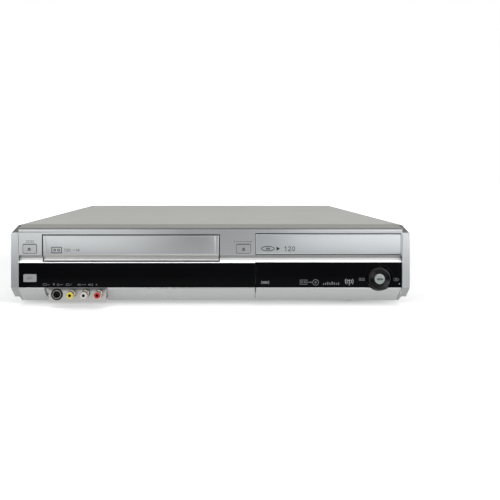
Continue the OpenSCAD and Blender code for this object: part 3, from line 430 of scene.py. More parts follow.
def facia_finish(name, radius, groove, bevel_highlight_top, shade_line=None, silver=(0.6, 0.617, 0.628)):
    """Silver paint with the cover's grey on the lip, and painted light and shade on the lip, nose, groove,
    foot, bevels and jack plate.
    """
    mat = finish(name, silver, 0.3, metal=0.72, grain=0.0002, bump=0.05, vary=0.03, wear=0.2, radius=radius,
                 dirt=0.02)
    tree = mat.node_tree
    here = add_node(tree, "ShaderNodeNewGeometry")
    facing = add_node(tree, "ShaderNodeSeparateXYZ")
    tree.links.new(here.outputs["True Normal"], facing.inputs[0])
    place = object_place(tree)
    slope, across, height = facing.outputs["Z"], place["X"], place["Z"]

    def level(low, high):
        return product(tree, fade(tree, height, low - BLEND, low), fade(tree, height, high + BLEND, high))

    upward = fade(tree, slope, *UPWARD)
    downward = fade(tree, slope, *DOWNWARD)
    # Painted shade: the upward-facing lip and shoulders are painted dark. The nearly flat lip then takes the
    # warm grey of the cover.
    lip = product(tree, upward, fade(tree, height, TOP_LIP_Z - 0.0005, TOP_LIP_Z))
    overpaint(mat, lip, (0.17, 0.169, 0.16), rougher=0.4)
    flat_lip = product(tree, lip, fade(tree, slope, *NEARLY_FLAT))
    overpaint(mat, flat_lip, (0.39, 0.388, 0.366))
    # Painted shadow: a dark line on the nose under the lip.
    overpaint(mat, level(*NOSE_SHADOW_Z), (0.24, 0.24, 0.235))
    # The groove's downward-facing wall takes the groove colour: painted shade on the facia, painted light on
    # the doors.
    overpaint(mat, product(tree, downward, fade(tree, height, *GROOVE_SHADE_Z)), groove)
    # Painted shade: the downward-facing foot of the lower strip is painted darker, and darker still at the
    # wings.
    foot = product(tree, downward, fade(tree, height, *FOOT_SHADE_Z))
    overpaint(mat, foot, (0.44, 0.443, 0.441))
    at_wings = fade(tree, math_node(tree, "ABSOLUTE", across), WING_X, WING_X + 0.0004)
    overpaint(mat, product(tree, foot, at_wings), (0.31, 0.312, 0.31))
    # Painted highlight: the sloping bevels above the window are painted white.
    sloping = math_node(tree, "MAXIMUM", upward, downward)
    overpaint(mat, product(tree, sloping, level(BEVEL_HIGHLIGHT_FOOT, bevel_highlight_top)), (1, 1, 1), metal=0.25)
    # The jack plate is painted darker than the strip round it, and darker still in a painted shadow under
    # the edge of the window.
    plate = product(
        tree,
        math_node(tree, "GREATER_THAN", across, JACK_PLATE_X[0]),
        math_node(tree, "LESS_THAN", across, JACK_PLATE_X[1]),
        math_node(tree, "LESS_THAN", height, JACK_PLATE_TOP + BLEND),
        math_node(tree, "LESS_THAN", math_node(tree, "ABSOLUTE", slope), UPWARD[0]),
    )
    overpaint(mat, plate, (0.465, 0.463, 0.445))
    overpaint(mat, product(tree, plate, fade(tree, height, *JACK_SHADE_Z)), (0.17, 0.172, 0.172))
    # Painted shadow: a black line along the door's upper edge.
    if shade_line:
        overpaint(mat, level(*shade_line), (0.02, 0.02, 0.02), metal=0)
    return mat


def as_piece(name, bm, body, mat, crease=None):
    """Makes a mesh, given in millimetres, into a piece that moves with a body."""
    bmesh.ops.scale(bm, vec=(MM, MM, MM), verts=bm.verts)
    bmesh.ops.recalc_face_normals(bm, faces=bm.faces)
    mesh = bpy.data.meshes.new(name)
    bm.to_mesh(mesh)
    bm.free()
    mesh.materials.append(mat)
    if crease:
        mesh.shade_smooth()
        mesh.set_sharp_from_angle(angle=math.radians(crease))
    made = bpy.data.objects.new(name, mesh)
    bpy.context.scene.collection.objects.link(made)
    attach(made, body)
    return made


def join_loops(bm, a, b):
    """Faces between two closed loops with as many corners."""
    for i in range(len(a)):
        j = (i + 1) % len(a)
        bm.faces.new((a[i], a[j], b[j], b[i]))


def bar_along_x(bm, profile, x):
    """A bar with the given (y, z) section between two x places."""
    ends = [[bm.verts.new((at, y, z)) for y, z in profile] for at in x]
    for end in ends:
        bm.faces.new(end)
    join_loops(bm, *ends)


facia_paint = facia_finish("facia_paint", 0.00045, (0.33, 0.33, 0.325), 0.0547)
dress(facia_paint, "front_panel")

# The moulding itself. The cheeks of the bay behind the flap are cut back to the slope of the
# lower strip at their front corners.
CHEEKS_X = ((46.3, 48.9), (206.3, 208.5))
CHEEK_CORNER = [(-169.6, 17.18), (-169.6, 2), (-155.46, 2)]
moulding = bmesh.new()
moulding.from_mesh(nodes["front_panel"].data)
bmesh.ops.remove_doubles(moulding, verts=moulding.verts, dist=0.001 * MM)
bmesh.ops.scale(moulding, vec=(1 / MM, 1 / MM, 1 / MM), verts=moulding.verts)
facia = as_piece("facia_moulding", moulding, "case", facia_paint)
wedges = bmesh.new()
for x in CHEEKS_X:
    bar_along_x(wedges, CHEEK_CORNER, x)
knife = as_piece("cheek_knife", wedges, "case", facia_paint)
trim = facia.modifiers.new("trim", "BOOLEAN")
trim.operation = "DIFFERENCE"
trim.solver = "EXACT"
trim.object = knife
trimmed = facia.evaluated_get(bpy.context.evaluated_depsgraph_get())
facia.data = bpy.data.meshes.new_from_object(trimmed)
facia.modifiers.clear()
bpy.data.objects.remove(knife)
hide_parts("front_panel")

# ---------- cassette door and disc door ----------
# Two silver doors in the facia. The cassette door hangs on pins at its top corners in a black
# frame, and the disc door is clipped to the front of the tray.

# The doors' groove walls are painted lighter than the facia's, as painted light.
DOOR_GROOVE_LIGHT = (0.66, 0.655, 0.63)
DOOR_BEVEL_HIGHLIGHT_TOP = 0.0536
door_paint = facia_finish("door_paint", 0.0008, DOOR_GROOVE_LIGHT, DOOR_BEVEL_HIGHLIGHT_TOP, shade_line=(0.0796, 0.0805))
tray_paint = facia_finish("tray_paint", 0.0008, DOOR_GROOVE_LIGHT, DOOR_BEVEL_HIGHLIGHT_TOP, silver=(0.62, 0.646, 0.664))
band_paint = facia_finish("band_paint", 0.0003, DOOR_GROOVE_LIGHT, DOOR_BEVEL_HIGHLIGHT_TOP)
dress(door_paint, "tape_door")
dress(tray_paint, "tray_door")
frame_and_gap_shadow_black = finish("frame_and_gap_shadow_black", (0.008, 0.008, 0.009), 0.7, grain=0.0003, bump=0.1, vary=0.15, wear=0.1,
                     radius=0.0002, sockets={"Specular IOR Level": 0.06})

CORNER_STEPS = 5
CROWN_STEPS = 8
CROWN = 0.12
FACE_Y, FACE_BACK = -174.42, -173.9
SEAL_Y = (-174.04, -173.7)


def rounded_rectangle(x, z, radius):
    points = []
    for i, (cx, cz) in enumerate(((x[1], z[1]), (x[0], z[1]), (x[0], z[0]), (x[1], z[0]))):
        sx = -1 if i in (0, 3) else 1
        sz = -1 if i < 2 else 1
        for j in range(CORNER_STEPS + 1):
            turn = math.radians(90 * (i + j / CORNER_STEPS))
            points.append((cx + sx * radius + radius * math.cos(turn),
                           cz + sz * radius + radius * math.sin(turn)))
    return points


def gasket(bm, x, z, gap, rim, radius):
    """A flat frame round an opening, from its gap to its rim's left, right, lower and upper reach."""
    loops = []
    for (left, right, low, high), corner in (((gap,) * 4, radius[0]), (rim, radius[1])):
        outline = rounded_rectangle((x[0] - left, x[1] + right), (z[0] - low, z[1] + high), corner)
        for depth in SEAL_Y:
            loops.append([bm.verts.new((px, depth, pz)) for px, pz in outline])
    for a, b in ((0, 2), (2, 3), (3, 1), (1, 0)):
        join_loops(bm, loops[a], loops[b])


def even_back(x):
    return FACE_BACK


def pressed_plate(bm, columns, rows, back=even_back):
    """A closed plate: columns give (x, sink) and rows give (z, front y), and it ends at back(x)."""
    fronts = [[bm.verts.new((x, y + sink, z)) for x, sink in columns] for z, y in rows]
    backs = [[bm.verts.new((x, back(x), z)) for x, sink in columns] for z, y in rows]
    low, right = len(rows) - 1, len(columns) - 1
    for sheet in (fronts, backs):
        for i in range(low):
            for j in range(right):
                bm.faces.new((sheet[i][j], sheet[i][j + 1], sheet[i + 1][j + 1], sheet[i + 1][j]))
    rim = [(0, j) for j in range(right + 1)]
    rim += [(i, right) for i in range(1, low + 1)]
    rim += [(low, j) for j in range(right - 1, -1, -1)]
    rim += [(i, 0) for i in range(low - 1, 0, -1)]
    join_loops(bm, [fronts[i][j] for i, j in rim], [backs[i][j] for i, j in rim])


def plate_columns(x, ends):
    """Columns of a plate between two x places: its two pressed ends and nine places between."""
    columns = [(x[0] + inset, sink) for inset, sink in ends]
    columns += [(x[0] + (x[1] - x[0]) * i / 10, 0) for i in range(1, 10)]
    return columns + [(x[1] - inset, sink) for inset, sink in reversed(ends)]


def crowned(bottom, top):
    """Rows of a door's plate, which bulges a little between its rounded upper and lower edges."""
    rows = [(top, FACE_Y + 0.42), (top - 0.08, FACE_Y + 0.26), (top - 0.5, FACE_Y + 0.04)]
    for i in range(CROWN_STEPS + 1):
        share = 1 - 2 * i / CROWN_STEPS
        rows.append((top - 0.9 - (top - bottom - 1.8) * i / CROWN_STEPS,
                     FACE_Y - CROWN * (1 - share * share)))
    return rows + [(bottom + 0.4, FACE_Y + 0.06), (bottom + 0.06, FACE_Y + 0.26), (bottom, FACE_Y + 0.42)]


DOOR_X, DOOR_Z = (-180.5, 9.1), (58.5, 79.66)
DOOR_ENDS = [(0.03, 0.32), (0.25, 0.12), (0.7, 0.02), (3.2, 0), (3.45, 0.04), (3.8, 0.24), (4.15, 0.04),
             (4.4, 0)]
DOOR_BEVEL = 3.6


def door_back(x):
    """The plate thins out over the bevel at each end of the door."""
    return FACE_BACK + 0.5 * max(0, 1 - min(x - DOOR_X[0], DOOR_X[1] - x) / DOOR_BEVEL)


plate = bmesh.new()
pressed_plate(plate, plate_columns(DOOR_X, DOOR_ENDS), crowned(*DOOR_Z), door_back)
as_piece("tape_door_face", plate, "tape_door", door_paint, crease=35)

TRAY_DOOR_X, TRAY_DOOR_Z = (48.9, 205.2), (59.5, 80.9)
TRAY_DOOR_ENDS = [(0.02, 0.32), (0.2, 0.14), (0.6, 0.03), (1.2, 0)]
plate = bmesh.new()
pressed_plate(plate, plate_columns(TRAY_DOOR_X, TRAY_DOOR_ENDS), crowned(*TRAY_DOOR_Z))
as_piece("tray_door_face", plate, "disc_tray", tray_paint, crease=35)

# Black bars fill the cassette door's gaps: partly a real dark frame, partly painted shadow that darkens the
# gap lines.
SIDE_BAR = [(-174.1, 80.85), (-174.1, 58.6), (-169.75, 54.25), (-172.37, 50.82), (-171.27, 50.82),
            (-168.6, 54.3), (-173.0, 58.8), (-173.0, 80.85)]
UPPER_BAR = [(-174.1, 79.75), (-173.0, 79.75), (-173.0, 80.85), (-174.1, 80.85)]
LOWER_BAR = [(-172.37, 50.82), (-171.27, 50.82), (-170.3, 52.1), (-171.4, 52.1)]
frame_bars = bmesh.new()
bar_along_x(frame_bars, SIDE_BAR, (DOOR_X[0] - 1.15, DOOR_X[0] - 0.1))
bar_along_x(frame_bars, SIDE_BAR, (DOOR_X[1] + 0.1, DOOR_X[1] + 1.05))
for section in (UPPER_BAR, LOWER_BAR):
    bar_along_x(frame_bars, section, (DOOR_X[0] - 0.08, DOOR_X[1] + 0.08))
as_piece("tape_door_frame", frame_bars, "case", frame_and_gap_shadow_black)

# The disc door's black seal is partly a real seal and partly painted shadow, widest above the door.
seal = bmesh.new()
gasket(seal, TRAY_DOOR_X, TRAY_DOOR_Z, 0.06, (0.5, 0.6, 0.8, 1.15), (0.1, 0.3))
as_piece("tray_door_seal", seal, "case", frame_and_gap_shadow_black)

# The band under the top lip is a separate crowned trim. Above it a dark strip marks the seam and its shadow
# line under the lip: partly a real joint, partly painted shadow.
BAND_X = (-206.7, 206.7)
BAND_ROWS = [(86.62, -174.1), (86.58, -174.28), (86.3, -174.42), (85.4, -174.46), (84.5, -174.48),
             (83.5, -174.46), (83.0, -174.38), (82.85, -174.05)]
SHADOW_SEAM = [(-173.9, 86.66), (-173.2, 86.66), (-173.2, 86.88), (-173.9, 86.88)]
band = bmesh.new()
pressed_plate(band, [(BAND_X[0] + (BAND_X[1] - BAND_X[0]) * i / 12, 0) for i in range(13)], BAND_ROWS)
as_piece("lip_band", band, "case", band_paint, crease=40)
seam_shadow_grey = finish("seam_shadow_grey", (0.1, 0.1, 0.095), 0.6, grain=0.0003, bump=0.1, vary=0.15, wear=0.2,
                   radius=0.0002)
seam = bmesh.new()
bar_along_x(seam, SHADOW_SEAM, BAND_X)
as_piece("lip_shadow_seam", seam, "case", seam_shadow_grey)

# ---------- eject and open buttons ----------
# Two small moulded keys in the silver of the facia. Each stands a little proud of its opening,
# with a dark seal in the gap round it that is also painted shadow, widest above the key.

key_paint = finish("key_paint", (0.545, 0.56, 0.572), 0.33, metal=0.7, grain=0.0002, bump=0.05, vary=0.03,
                   wear=0.35, radius=0.0005, dirt=0.02)
dress(key_paint, "eject_button", "tray_button")
seal = bmesh.new()
for x, z in (((-201.9, -187.6), (60.5, 69.8)), ((28.2, 43.2), (60.7, 69.8))):
    gasket(seal, x, z, 0.08, (0.46, 0.5, 0.5, 0.85), (1.38, 1.7))
as_piece("key_seals", seal, "case", frame_and_gap_shadow_black)

# ---------- printed marks ----------
# Small pictograms and figures, pad-printed in dark grey on the silver and in light grey on the
# black strip. The ink has a little thickness, so each mark is a thin plate on its surface.

# Marks are drawn flat in millimetres, as (x, z) seen from the front.
INK_BUILD = 0.08
MITRE_LIMIT = 0.4
ARC_STEP = 18
FIGURE_PITCH = 0.92


def printing_ink(name, colour):
    return finish(name, colour, 0.5, grain=0.0002, bump=0.05, vary=0.12, wear=0, radius=0.0001, dirt=0.02)


dark_ink = printing_ink("dark_ink", (0.02, 0.021, 0.024))
faded_ink = printing_ink("faded_ink", (0.09, 0.093, 0.097))
grey_ink = printing_ink("grey_ink", (0.15, 0.152, 0.165))
pale_ink = printing_ink("pale_ink", (0.42, 0.42, 0.45))

# The strokes of each figure, in heights of the figure.
FIGURES = {
    "0": [(0.3, 1), (0.08, 0.85), (0, 0.5), (0.08, 0.15), (0.3, 0), (0.52, 0.15), (0.6, 0.5), (0.52, 0.85),
          (0.29, 1)],
    "1": [(0.1, 0.76), (0.36, 1), (0.36, 0)],
    "2": [(0.02, 0.8), (0.16, 0.97), (0.42, 0.97), (0.58, 0.78), (0.5, 0.52), (0.02, 0), (0.6, 0)],
    "3": [(0.02, 0.9), (0.3, 1), (0.56, 0.76), (0.3, 0.54), (0.6, 0.26), (0.32, 0), (0.02, 0.1)],
    "4": [(0.6, 0.28), (0, 0.28), (0.42, 1), (0.44, 0)],
    "6": [(0.5, 1), (0.12, 0.7), (0, 0.3), (0.3, 0), (0.6, 0.28), (0.3, 0.56), (0.06, 0.4)],
}


def patch(ink, points):
    ink.faces.new([ink.verts.new((x, 0, z)) for x, z in points])


def stroke(ink, points, width, closed=False):
    """A line of even width through points, with mitred corners and square ends."""
    spots = [Vector(p) for p in points]
    rims = []
    for i, spot in enumerate(spots):
        back = spot - spots[i - 1] if i or closed else None
        ahead = spots[(i + 1) % len(spots)] - spot if i < len(spots) - 1 or closed else None
        a = (back if back is not None else ahead).normalized()
        b = (ahead if ahead is not None else back).normalized()
        if back is None:
            spot = spot - b * width / 2
        if ahead is None:
            spot = spot + a * width / 2
        along = (a + b).normalized()
        side = Vector((-along.y, along.x))
        reach = width / 2 / max(MITRE_LIMIT, side.dot(Vector((-a.y, a.x))))
        rims.append([ink.verts.new((p.x, 0, p.y)) for p in (spot + side * reach, spot - side * reach)])
    for i in range(len(rims) if closed else len(rims) - 1):
        here, there = rims[i], rims[(i + 1) % len(rims)]
        ink.faces.new((here[0], here[1], there[1], there[0]))


def arc_points(x, z, rx, rz, start=0, end=360):
    whole = end - start >= 360
    steps = max(5, round((end - start) / ARC_STEP))
    turns = [math.radians(start + (end - start) * i / steps) for i in range(steps if whole else steps + 1)]
    return [(x + rx * math.cos(t), z + rz * math.sin(t)) for t in turns]


def ring_mark(ink, x, z, rx, rz, width, start=0, end=360):
    stroke(ink, arc_points(x, z, rx, rz, start, end), width, closed=end - start >= 360)


def dot_mark(ink, x, z, radius):
    patch(ink, arc_points(x, z, radius, radius))


def box_corners(x, z):
    return [(x[0], z[0]), (x[1], z[0]), (x[1], z[1]), (x[0], z[1])]


def box_mark(ink, x, z, width):
    stroke(ink, box_corners(x, z), width, closed=True)


def solid_box(ink, x, z):
    patch(ink, box_corners(x, z))


def figures(ink, text, x, z, high, width):
    for i, figure in enumerate(text):
        line = [(x + (px + FIGURE_PITCH * i) * high, z + pz * high) for px, pz in FIGURES[figure]]
        stroke(ink, line, width)


def cassette_mark(ink, x, z, width):
    box_mark(ink, x, z, width)
    wide, middle, hub = x[1] - x[0], (z[0] + z[1]) / 2, (z[1] - z[0]) * 0.17
    for share in (0.3, 0.7):
        ring_mark(ink, x[0] + wide * share, middle, hub, hub, width)


def disc_mark(ink, x, z, rx, rz, width):
    ring_mark(ink, x, z, rx, rz, width)
    ring_mark(ink, x, z, rx * 0.28, rz * 0.28, width)


def eject_mark(ink, x, z, wide, high):
    patch(ink, [(x - wide / 2, z + high * 0.36), (x + wide / 2, z + high * 0.36), (x, z + high)])
    solid_box(ink, (x - wide / 2, x + wide / 2), (z, z + high * 0.22))


def arrow_mark(ink, tail, tip, z, width, head):
    turn = head if tip > tail else -head
    stroke(ink, [(tail, z), (tip - turn, z)], width)
    patch(ink, [(tip - turn * 0.9, z - head * 0.7), (tip, z), (tip - turn * 0.9, z + head * 0.7)])


def speaker_mark(ink, x, z, high, waves):
    solid_box(ink, (x, x + high * 0.3), (z + high * 0.32, z + high * 0.68))
    patch(ink, [(x + high * 0.36, z + high * 0.3), (x + high * 0.8, z), (x + high * 0.8, z + high),
                (x + high * 0.36, z + high * 0.7)])
    for i in range(waves):
        radius = high * (0.45 + 0.3 * i)
        ring_mark(ink, x + high * 0.7, z + high / 2, radius, radius, high * 0.12, -42, 42)


def print_marks(name, ink, front, body, mat, sunk=0.02, behind=False):
    """Gives flat marks the thickness of ink on the plane y = front, or on the rear where behind is set."""
    raised = {}
    for corner in ink.verts[:]:
        raised[corner] = ink.verts.new((corner.co.x, front - INK_BUILD, corner.co.z))
    rims = [edge.link_loops[0] for edge in ink.edges if edge.is_boundary]
    rims = [(loop.vert, loop.link_loop_next.vert) for loop in rims]
    for face in ink.faces[:]:
        ink.faces.new([raised[corner] for corner in face.verts])
    for here, there in rims:
        ink.faces.new((here, there, raised[there], raised[here]))
    for corner in raised:
        corner.co.y = front + sunk
    if behind:
        bmesh.ops.rotate(ink, matrix=Matrix.Rotation(math.pi, 3, "Z"), verts=ink.verts)
    as_piece(name, ink, body, mat)


FACIA_FRONT = -174
DOOR_FRONT = -174.52
KEY_FRONT = -174.3
WINDOW_FRONT = -172.9

ink = bmesh.new()
cassette_mark(ink, (-198.6, -190.4), (72.0, 74.1), 0.32)
arrow_mark(ink, 27.2, 44.6, 73.0, 0.4, 1.3)
stroke(ink, [(25.6, 72.0), (25.6, 74.0)], 0.4)
print_marks("facia_marks", ink, FACIA_FRONT, "case", faded_ink)

ink = bmesh.new()
eject_mark(ink, -195.3, 63.4, 3.9, 3.5)
print_marks("eject_mark", ink, KEY_FRONT, "eject_button", dark_ink)

ink = bmesh.new()
eject_mark(ink, 35.8, 63.3, 3.9, 3.5)
print_marks("open_mark", ink, KEY_FRONT, "tray_button", dark_ink)

ink = bmesh.new()
cassette_mark(ink, (-170.8, -160.4), (61.0, 67.1), 0.75)
print_marks("cassette_mark", ink, DOOR_FRONT, "tape_door", dark_ink)

ink = bmesh.new()
figures(ink, "120", -157.6, 62.7, 2.7, 0.42)
solid_box(ink, (-148.2, -146.2), (63.8, 64.3))
figures(ink, "46", -144.6, 62.9, 2.3, 0.4)
print_marks("tape_door_figures", ink, DOOR_FRONT, "tape_door", faded_ink)

ink = bmesh.new()
disc_mark(ink, 62.0, 65.6, 6.9, 2.4, 0.75)
patch(ink, [(71.2, 63.4), (75.2, 65.6), (71.2, 67.8)])
figures(ink, "120", 79.6, 63.2, 4.6, 0.62)
print_marks("tray_door_marks", ink, DOOR_FRONT, "disc_tray", dark_ink)

# Outlines and plain numbers round the sockets on the rear panel, drawn as seen from behind.
REAR_FACE = -169.2
ink = bmesh.new()
for i, across in enumerate((12, 82)):
    box_mark(ink, (across - 29, across + 29), (22.5, 46.5), 0.5)
    figures(ink, "12"[i], across - 1.2, 48.6, 3.2, 0.5)
box_mark(ink, (-76.5, -31.5), (22, 52), 0.5)
stroke(ink, [(-76.2, 37), (-31.8, 37)], 0.4)
figures(ink, "3", -55.2, 53.8, 3.2, 0.5)
arrow_mark(ink, -82.5, -78.5, 44, 0.5, 1.5)
arrow_mark(ink, -78.5, -82.5, 30, 0.5, 1.5)
box_mark(ink, (-106.5, -85.5), (20.5, 31.5), 0.5)
figures(ink, "4", -97.2, 33.4, 3.2, 0.5)
box_mark(ink, (-197.5, -172.5), (22, 42), 0.5)
stroke(ink, [(-188.5, 45), (-187.2, 46.4), (-185.9, 45.7), (-184.6, 45), (-183.3, 46.4)], 0.5)
for height in (30, 54):
    ring_mark(ink, 185, height, 8.6, 8.6, 0.5)
arrow_mark(ink, 169.5, 174.5, 54, 0.5, 1.5)
arrow_mark(ink, 174.5, 169.5, 30, 0.5, 1.5)
print_marks("rear_marks", ink, REAR_FACE, "case", dark_ink, behind=True)

# ---------- dark window and flap ----------
# A gloss black acrylic strip across the lower front. The display tube sits behind its middle,
# and its right part is the drop-down flap over the second set of sockets.

window_gloss = finish("window_gloss", (0.0032, 0.0033, 0.0038), 0.09, grain=0.003, bump=0.01, vary=0.2,
                      worn=(0.03, 0.03, 0.03), wear=0.2, radius=0.0009, dirt=0.0,
                      sockets={"Specular IOR Level": 0.03})
dress(window_gloss, "display_window", "front_flap")
dress(finish("display_glass", (0.02, 0.045, 0.045), 0.08, grain=0.002, bump=0.02, vary=0.2, radius=0.0002),
      "display_module")

ink = bmesh.new()
box_mark(ink, (-180.8, -177.2), (25.4, 27.4), 0.35)
arrow_mark(ink, -176.2, -173.9, 26.4, 0.4, 0.9)
patch(ink, [(-170.3, 27.5), (-167.9, 27.5), (-169.1, 25.3)])
ring_mark(ink, -164.6, 26.4, 1.1, 1.1, 0.4)
stroke(ink, [(-162.4, 26.4), (-159.6, 26.4)], 0.5)
box_mark(ink, (-155.8, -152.6), (25.5, 27.3), 0.38)
stroke(ink, [(-151.4, 25.7), (-149.9, 27.1)], 0.4)
speaker_mark(ink, -143.6, 25.3, 2.2, 2)
stroke(ink, [(-139.4, 26.4), (-134.8, 26.4)], 0.45)
speaker_mark(ink, -132.2, 25.3, 2.2, 2)
figures(ink, "2", -128.2, 25.4, 2.0, 0.4)
dot_mark(ink, -123.0, 26.4, 0.75)
print_marks("window_marks", ink, WINDOW_FRONT, "case", grey_ink)

ink = bmesh.new()
solid_box(ink, (54.8, 55.7), (26.9, 30.6))
solid_box(ink, (56.2, 62.0), (27.4, 30.1))
solid_box(ink, (62.5, 63.4), (26.9, 30.6))
cassette_mark(ink, (97.0, 104.4), (26.8, 31.4), 0.55)
arrow_mark(ink, 105.6, 109.6, 29.0, 0.6, 1.6)
disc_mark(ink, 113.6, 28.9, 3.2, 3.0, 0.6)
for i, high in enumerate((1.4, 2.0, 2.9, 2.2, 3.4, 2.6, 1.7, 2.4)):
    solid_box(ink, (121.6 + 2.3 * i, 122.9 + 2.3 * i), (26.3, 26.3 + high))
cassette_mark(ink, (160.8, 166.6), (30.9, 33.4), 0.4)
disc_mark(ink, 200.6, 32.0, 3.1, 1.4, 0.4)
print_marks("flap_marks", ink, WINDOW_FRONT, "flap", grey_ink)

ink = bmesh.new()
stroke(ink, [(150.0, 25.9), (150.0, 29.6)], 0.6)
dot_mark(ink, 150.0, 30.9, 0.85)
for i, radius in enumerate((2.5, 4.3)):
    ring_mark(ink, 150.0, 30.0, radius, radius, 0.6, -48 + 8 * i, 38 - 6 * i)
    ring_mark(ink, 150.0, 30.0, radius, radius, 0.6, 142 + 6 * i, 228 - 8 * i)
solid_box(ink, (203.6, 204.7), (26.7, 27.8))
patch(ink, [(194.9, 25.4), (195.6, 25.6), (196.6, 28.6), (195.9, 28.4)])
print_marks("flap_bright_marks", ink, WINDOW_FRONT, "flap", pale_ink)

# The silver strip under the flap is one moulding with two small hinge arms behind it.
STRIP_FRONT = [(-173.3, 23.3), (-173.4, 21.7), (-163.9, 11.5), (-159, 6)]
STRIP_BACK = [(-157.6, 7.2), (-162.6, 12.9), (-168.6, 19.4), (-168.6, 27), (-170.7, 27), (-170.7, 23.3)]
RING_AT = (182.3, 32.8)
RING_CUT = 13.4
CUT_START, CUT_WIDTH = 168.95, 26.7
HINGE_ARM = [(-169.4, 18.4), (-164.2, 12.8), (-162.2, 13.4), (-162.0, 15.6), (-162.6, 17.4), (-166.8, 20.6)]
HINGE_AXIS = (-165, 15)
PIN_RADIUS = 1.5


def strip_front(z):
    """The y of the strip's front at a height."""
    for (y0, z0), (y1, z1) in zip(STRIP_FRONT, STRIP_FRONT[1:]):
        if z >= z1:
            return y0 + (y1 - y0) * (z0 - z) / (z0 - z1)
    return STRIP_FRONT[-1][0]


def strip_column(x):
    """The strip's (y, z) section at x, ending below the cut for the selector ring."""
    gone = RING_CUT ** 2 - (x - RING_AT[0]) ** 2
    top = RING_AT[1] - math.sqrt(gone) if gone > 0 else math.inf
    front = [(strip_front(min(z, top)), min(z, top)) for y, z in STRIP_FRONT]
    return front + [(y, min(z, top)) for y, z in STRIP_BACK]


strip = bmesh.new()
places = [49.3, 60, 110, 160, 168.8]
places += [CUT_START + CUT_WIDTH * i / 24 for i in range(25)]
places += [195.8, 202, 206]
loops = [[strip.verts.new((x, y, z)) for y, z in strip_column(x)] for x in places]
for here, there in zip(loops, loops[1:]):
    join_loops(strip, here, there)
for end in (loops[0], loops[-1]):
    strip.faces.new(end)
bmesh.ops.remove_doubles(strip, verts=strip.verts, dist=0.002)
for x in ((49.4, 52.2), (203, 205.9)):
    bar_along_x(strip, HINGE_ARM, x)
for x in ((47.1, 50), (205.3, 207.8)):
    bar_along_x(strip, arc_points(*HINGE_AXIS, PIN_RADIUS, PIN_RADIUS), x)
as_piece("flap_strip_moulding", strip, "flap", facia_paint)
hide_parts("flap_strip")

# ---------- power button ----------
# A moulded key in matt silver paint, level with the window. The standby sign, a slash and a bar
# are printed on it in grey.

button_paint = finish("button_paint", (0.37, 0.38, 0.385), 0.4, metal=0.35, grain=0.0002, bump=0.04,
                      vary=0.03, radius=0.0004, dirt=0.01)
dress(button_paint, "power_button")
POWER_FRONT = -173.5
ink = bmesh.new()
ring_mark(ink, -196.3, 33.4, 1.15, 1.15, 0.34, 125, 415)
stroke(ink, [(-196.3, 33.9), (-196.3, 34.8)], 0.34)
stroke(ink, [(-194.5, 32.4), (-193.5, 34.6)], 0.3)
stroke(ink, [(-192.6, 32.4), (-192.6, 34.6)], 0.34)
print_marks("standby_mark", ink, POWER_FRONT, "power_button", faded_ink)

# ---------- front sockets ----------
# A black moulding carries the round mini-DIN socket and three phono sockets with nickel barrels
# and yellow, white and red inserts. A thin steel shell lines the mini-DIN socket.

dress(finish("black_moulding", (0.018, 0.018, 0.019), 0.42, grain=0.0003, bump=0.12, vary=0.15,
             radius=0.0004, dirt=0.08),
      "flap_sockets", "board_chips", "mains_inlet", "scart_sockets", "rear_jack_block",
      "fan_frame", "fan_rotor", "drive_base", "disc_tray", "disc_spindle")
socket_black = finish("socket_black", (0.01, 0.01, 0.0105), 0.5, grain=0.0003, bump=0.12, vary=0.15,
                      radius=0.0003, dirt=0.02, sockets={"Specular IOR Level": 0.2})
dress(socket_black, "front_jack_block")
dress(finish("nickel", (0.58, 0.55, 0.49), 0.24, metal=1, grain=0.0004, bump=0.03, vary=0.1, radius=0.0002),
      "rca_shells", "hdmi_socket")
for name, colour, vary in (("yellow", (0.8, 0.64, 0.02), 0.06), ("white", (0.68, 0.68, 0.65), 0.04),
                           ("red", (0.6, 0.015, 0.012), 0.06)):
    dress(finish(name + "_insert", colour, 0.28, grain=0.0003, bump=0.04, vary=vary, radius=0.0002),
          "rca_" + name)


def turned(bm, profile, x, z, steps):
    """A closed ring turned about the line (x, z), from its (radius, y) section."""
    rows = []
    for i in range(steps):
        turn = math.tau * i / steps
        rows.append([bm.verts.new((x + r * math.cos(turn), y, z + r * math.sin(turn))) for r, y in profile])
    for i in range(steps):
        join_loops(bm, rows[i], rows[(i + 1) % steps])


DIN_AT = (-166, 15.8)
DIN_SHELL = [(4.1, -173.3), (4.45, -173.3), (4.55, -173.1), (4.55, -167.8), (4.1, -167.8)]
din_steel = finish("din_steel", (0.5, 0.51, 0.5), 0.3, metal=1, grain=0.0004, bump=0.03, vary=0.1,
                   radius=0.0001)
shell = bmesh.new()
turned(shell, DIN_SHELL, *DIN_AT, 64)
as_piece("din_shell", shell, "case", din_steel, crease=30)

# A dark contact sleeve lines the bore of each phono socket, with the pin's hole in its middle.
# Three sockets are at the front and six at the rear. The sleeve is given by (radius, depth).
SLEEVE = [(1.62, 0.15), (1.62, 16), (0.35, 16), (0.35, 3), (1.2, 2.6), (1.2, 0.3)]
SLEEVE_STEPS = 24
PHONO_FRONT = (-182.5, 179.5)
FRONT_PHONO_X, FRONT_PHONO_Z = (-149.5, -134.8, -120.4), 16.8
REAR_PHONO_X, REAR_PHONO_Z = (40, 54, 68), (30, 44)
sleeves = bmesh.new()
for x in FRONT_PHONO_X:
    turned(sleeves, [(r, PHONO_FRONT[0] + deep) for r, deep in SLEEVE], x, FRONT_PHONO_Z, SLEEVE_STEPS)
for x in REAR_PHONO_X:
    for z in REAR_PHONO_Z:
        turned(sleeves, [(r, PHONO_FRONT[1] - deep) for r, deep in SLEEVE], x, z, SLEEVE_STEPS)
as_piece("phono_sleeves", sleeves, "case", socket_black, crease=30)

# ---------- selector ----------
# A turned ring in black anodised aluminium with fine concentric grooves, round a silver centre
# button. It rocks left and right and the button presses in.

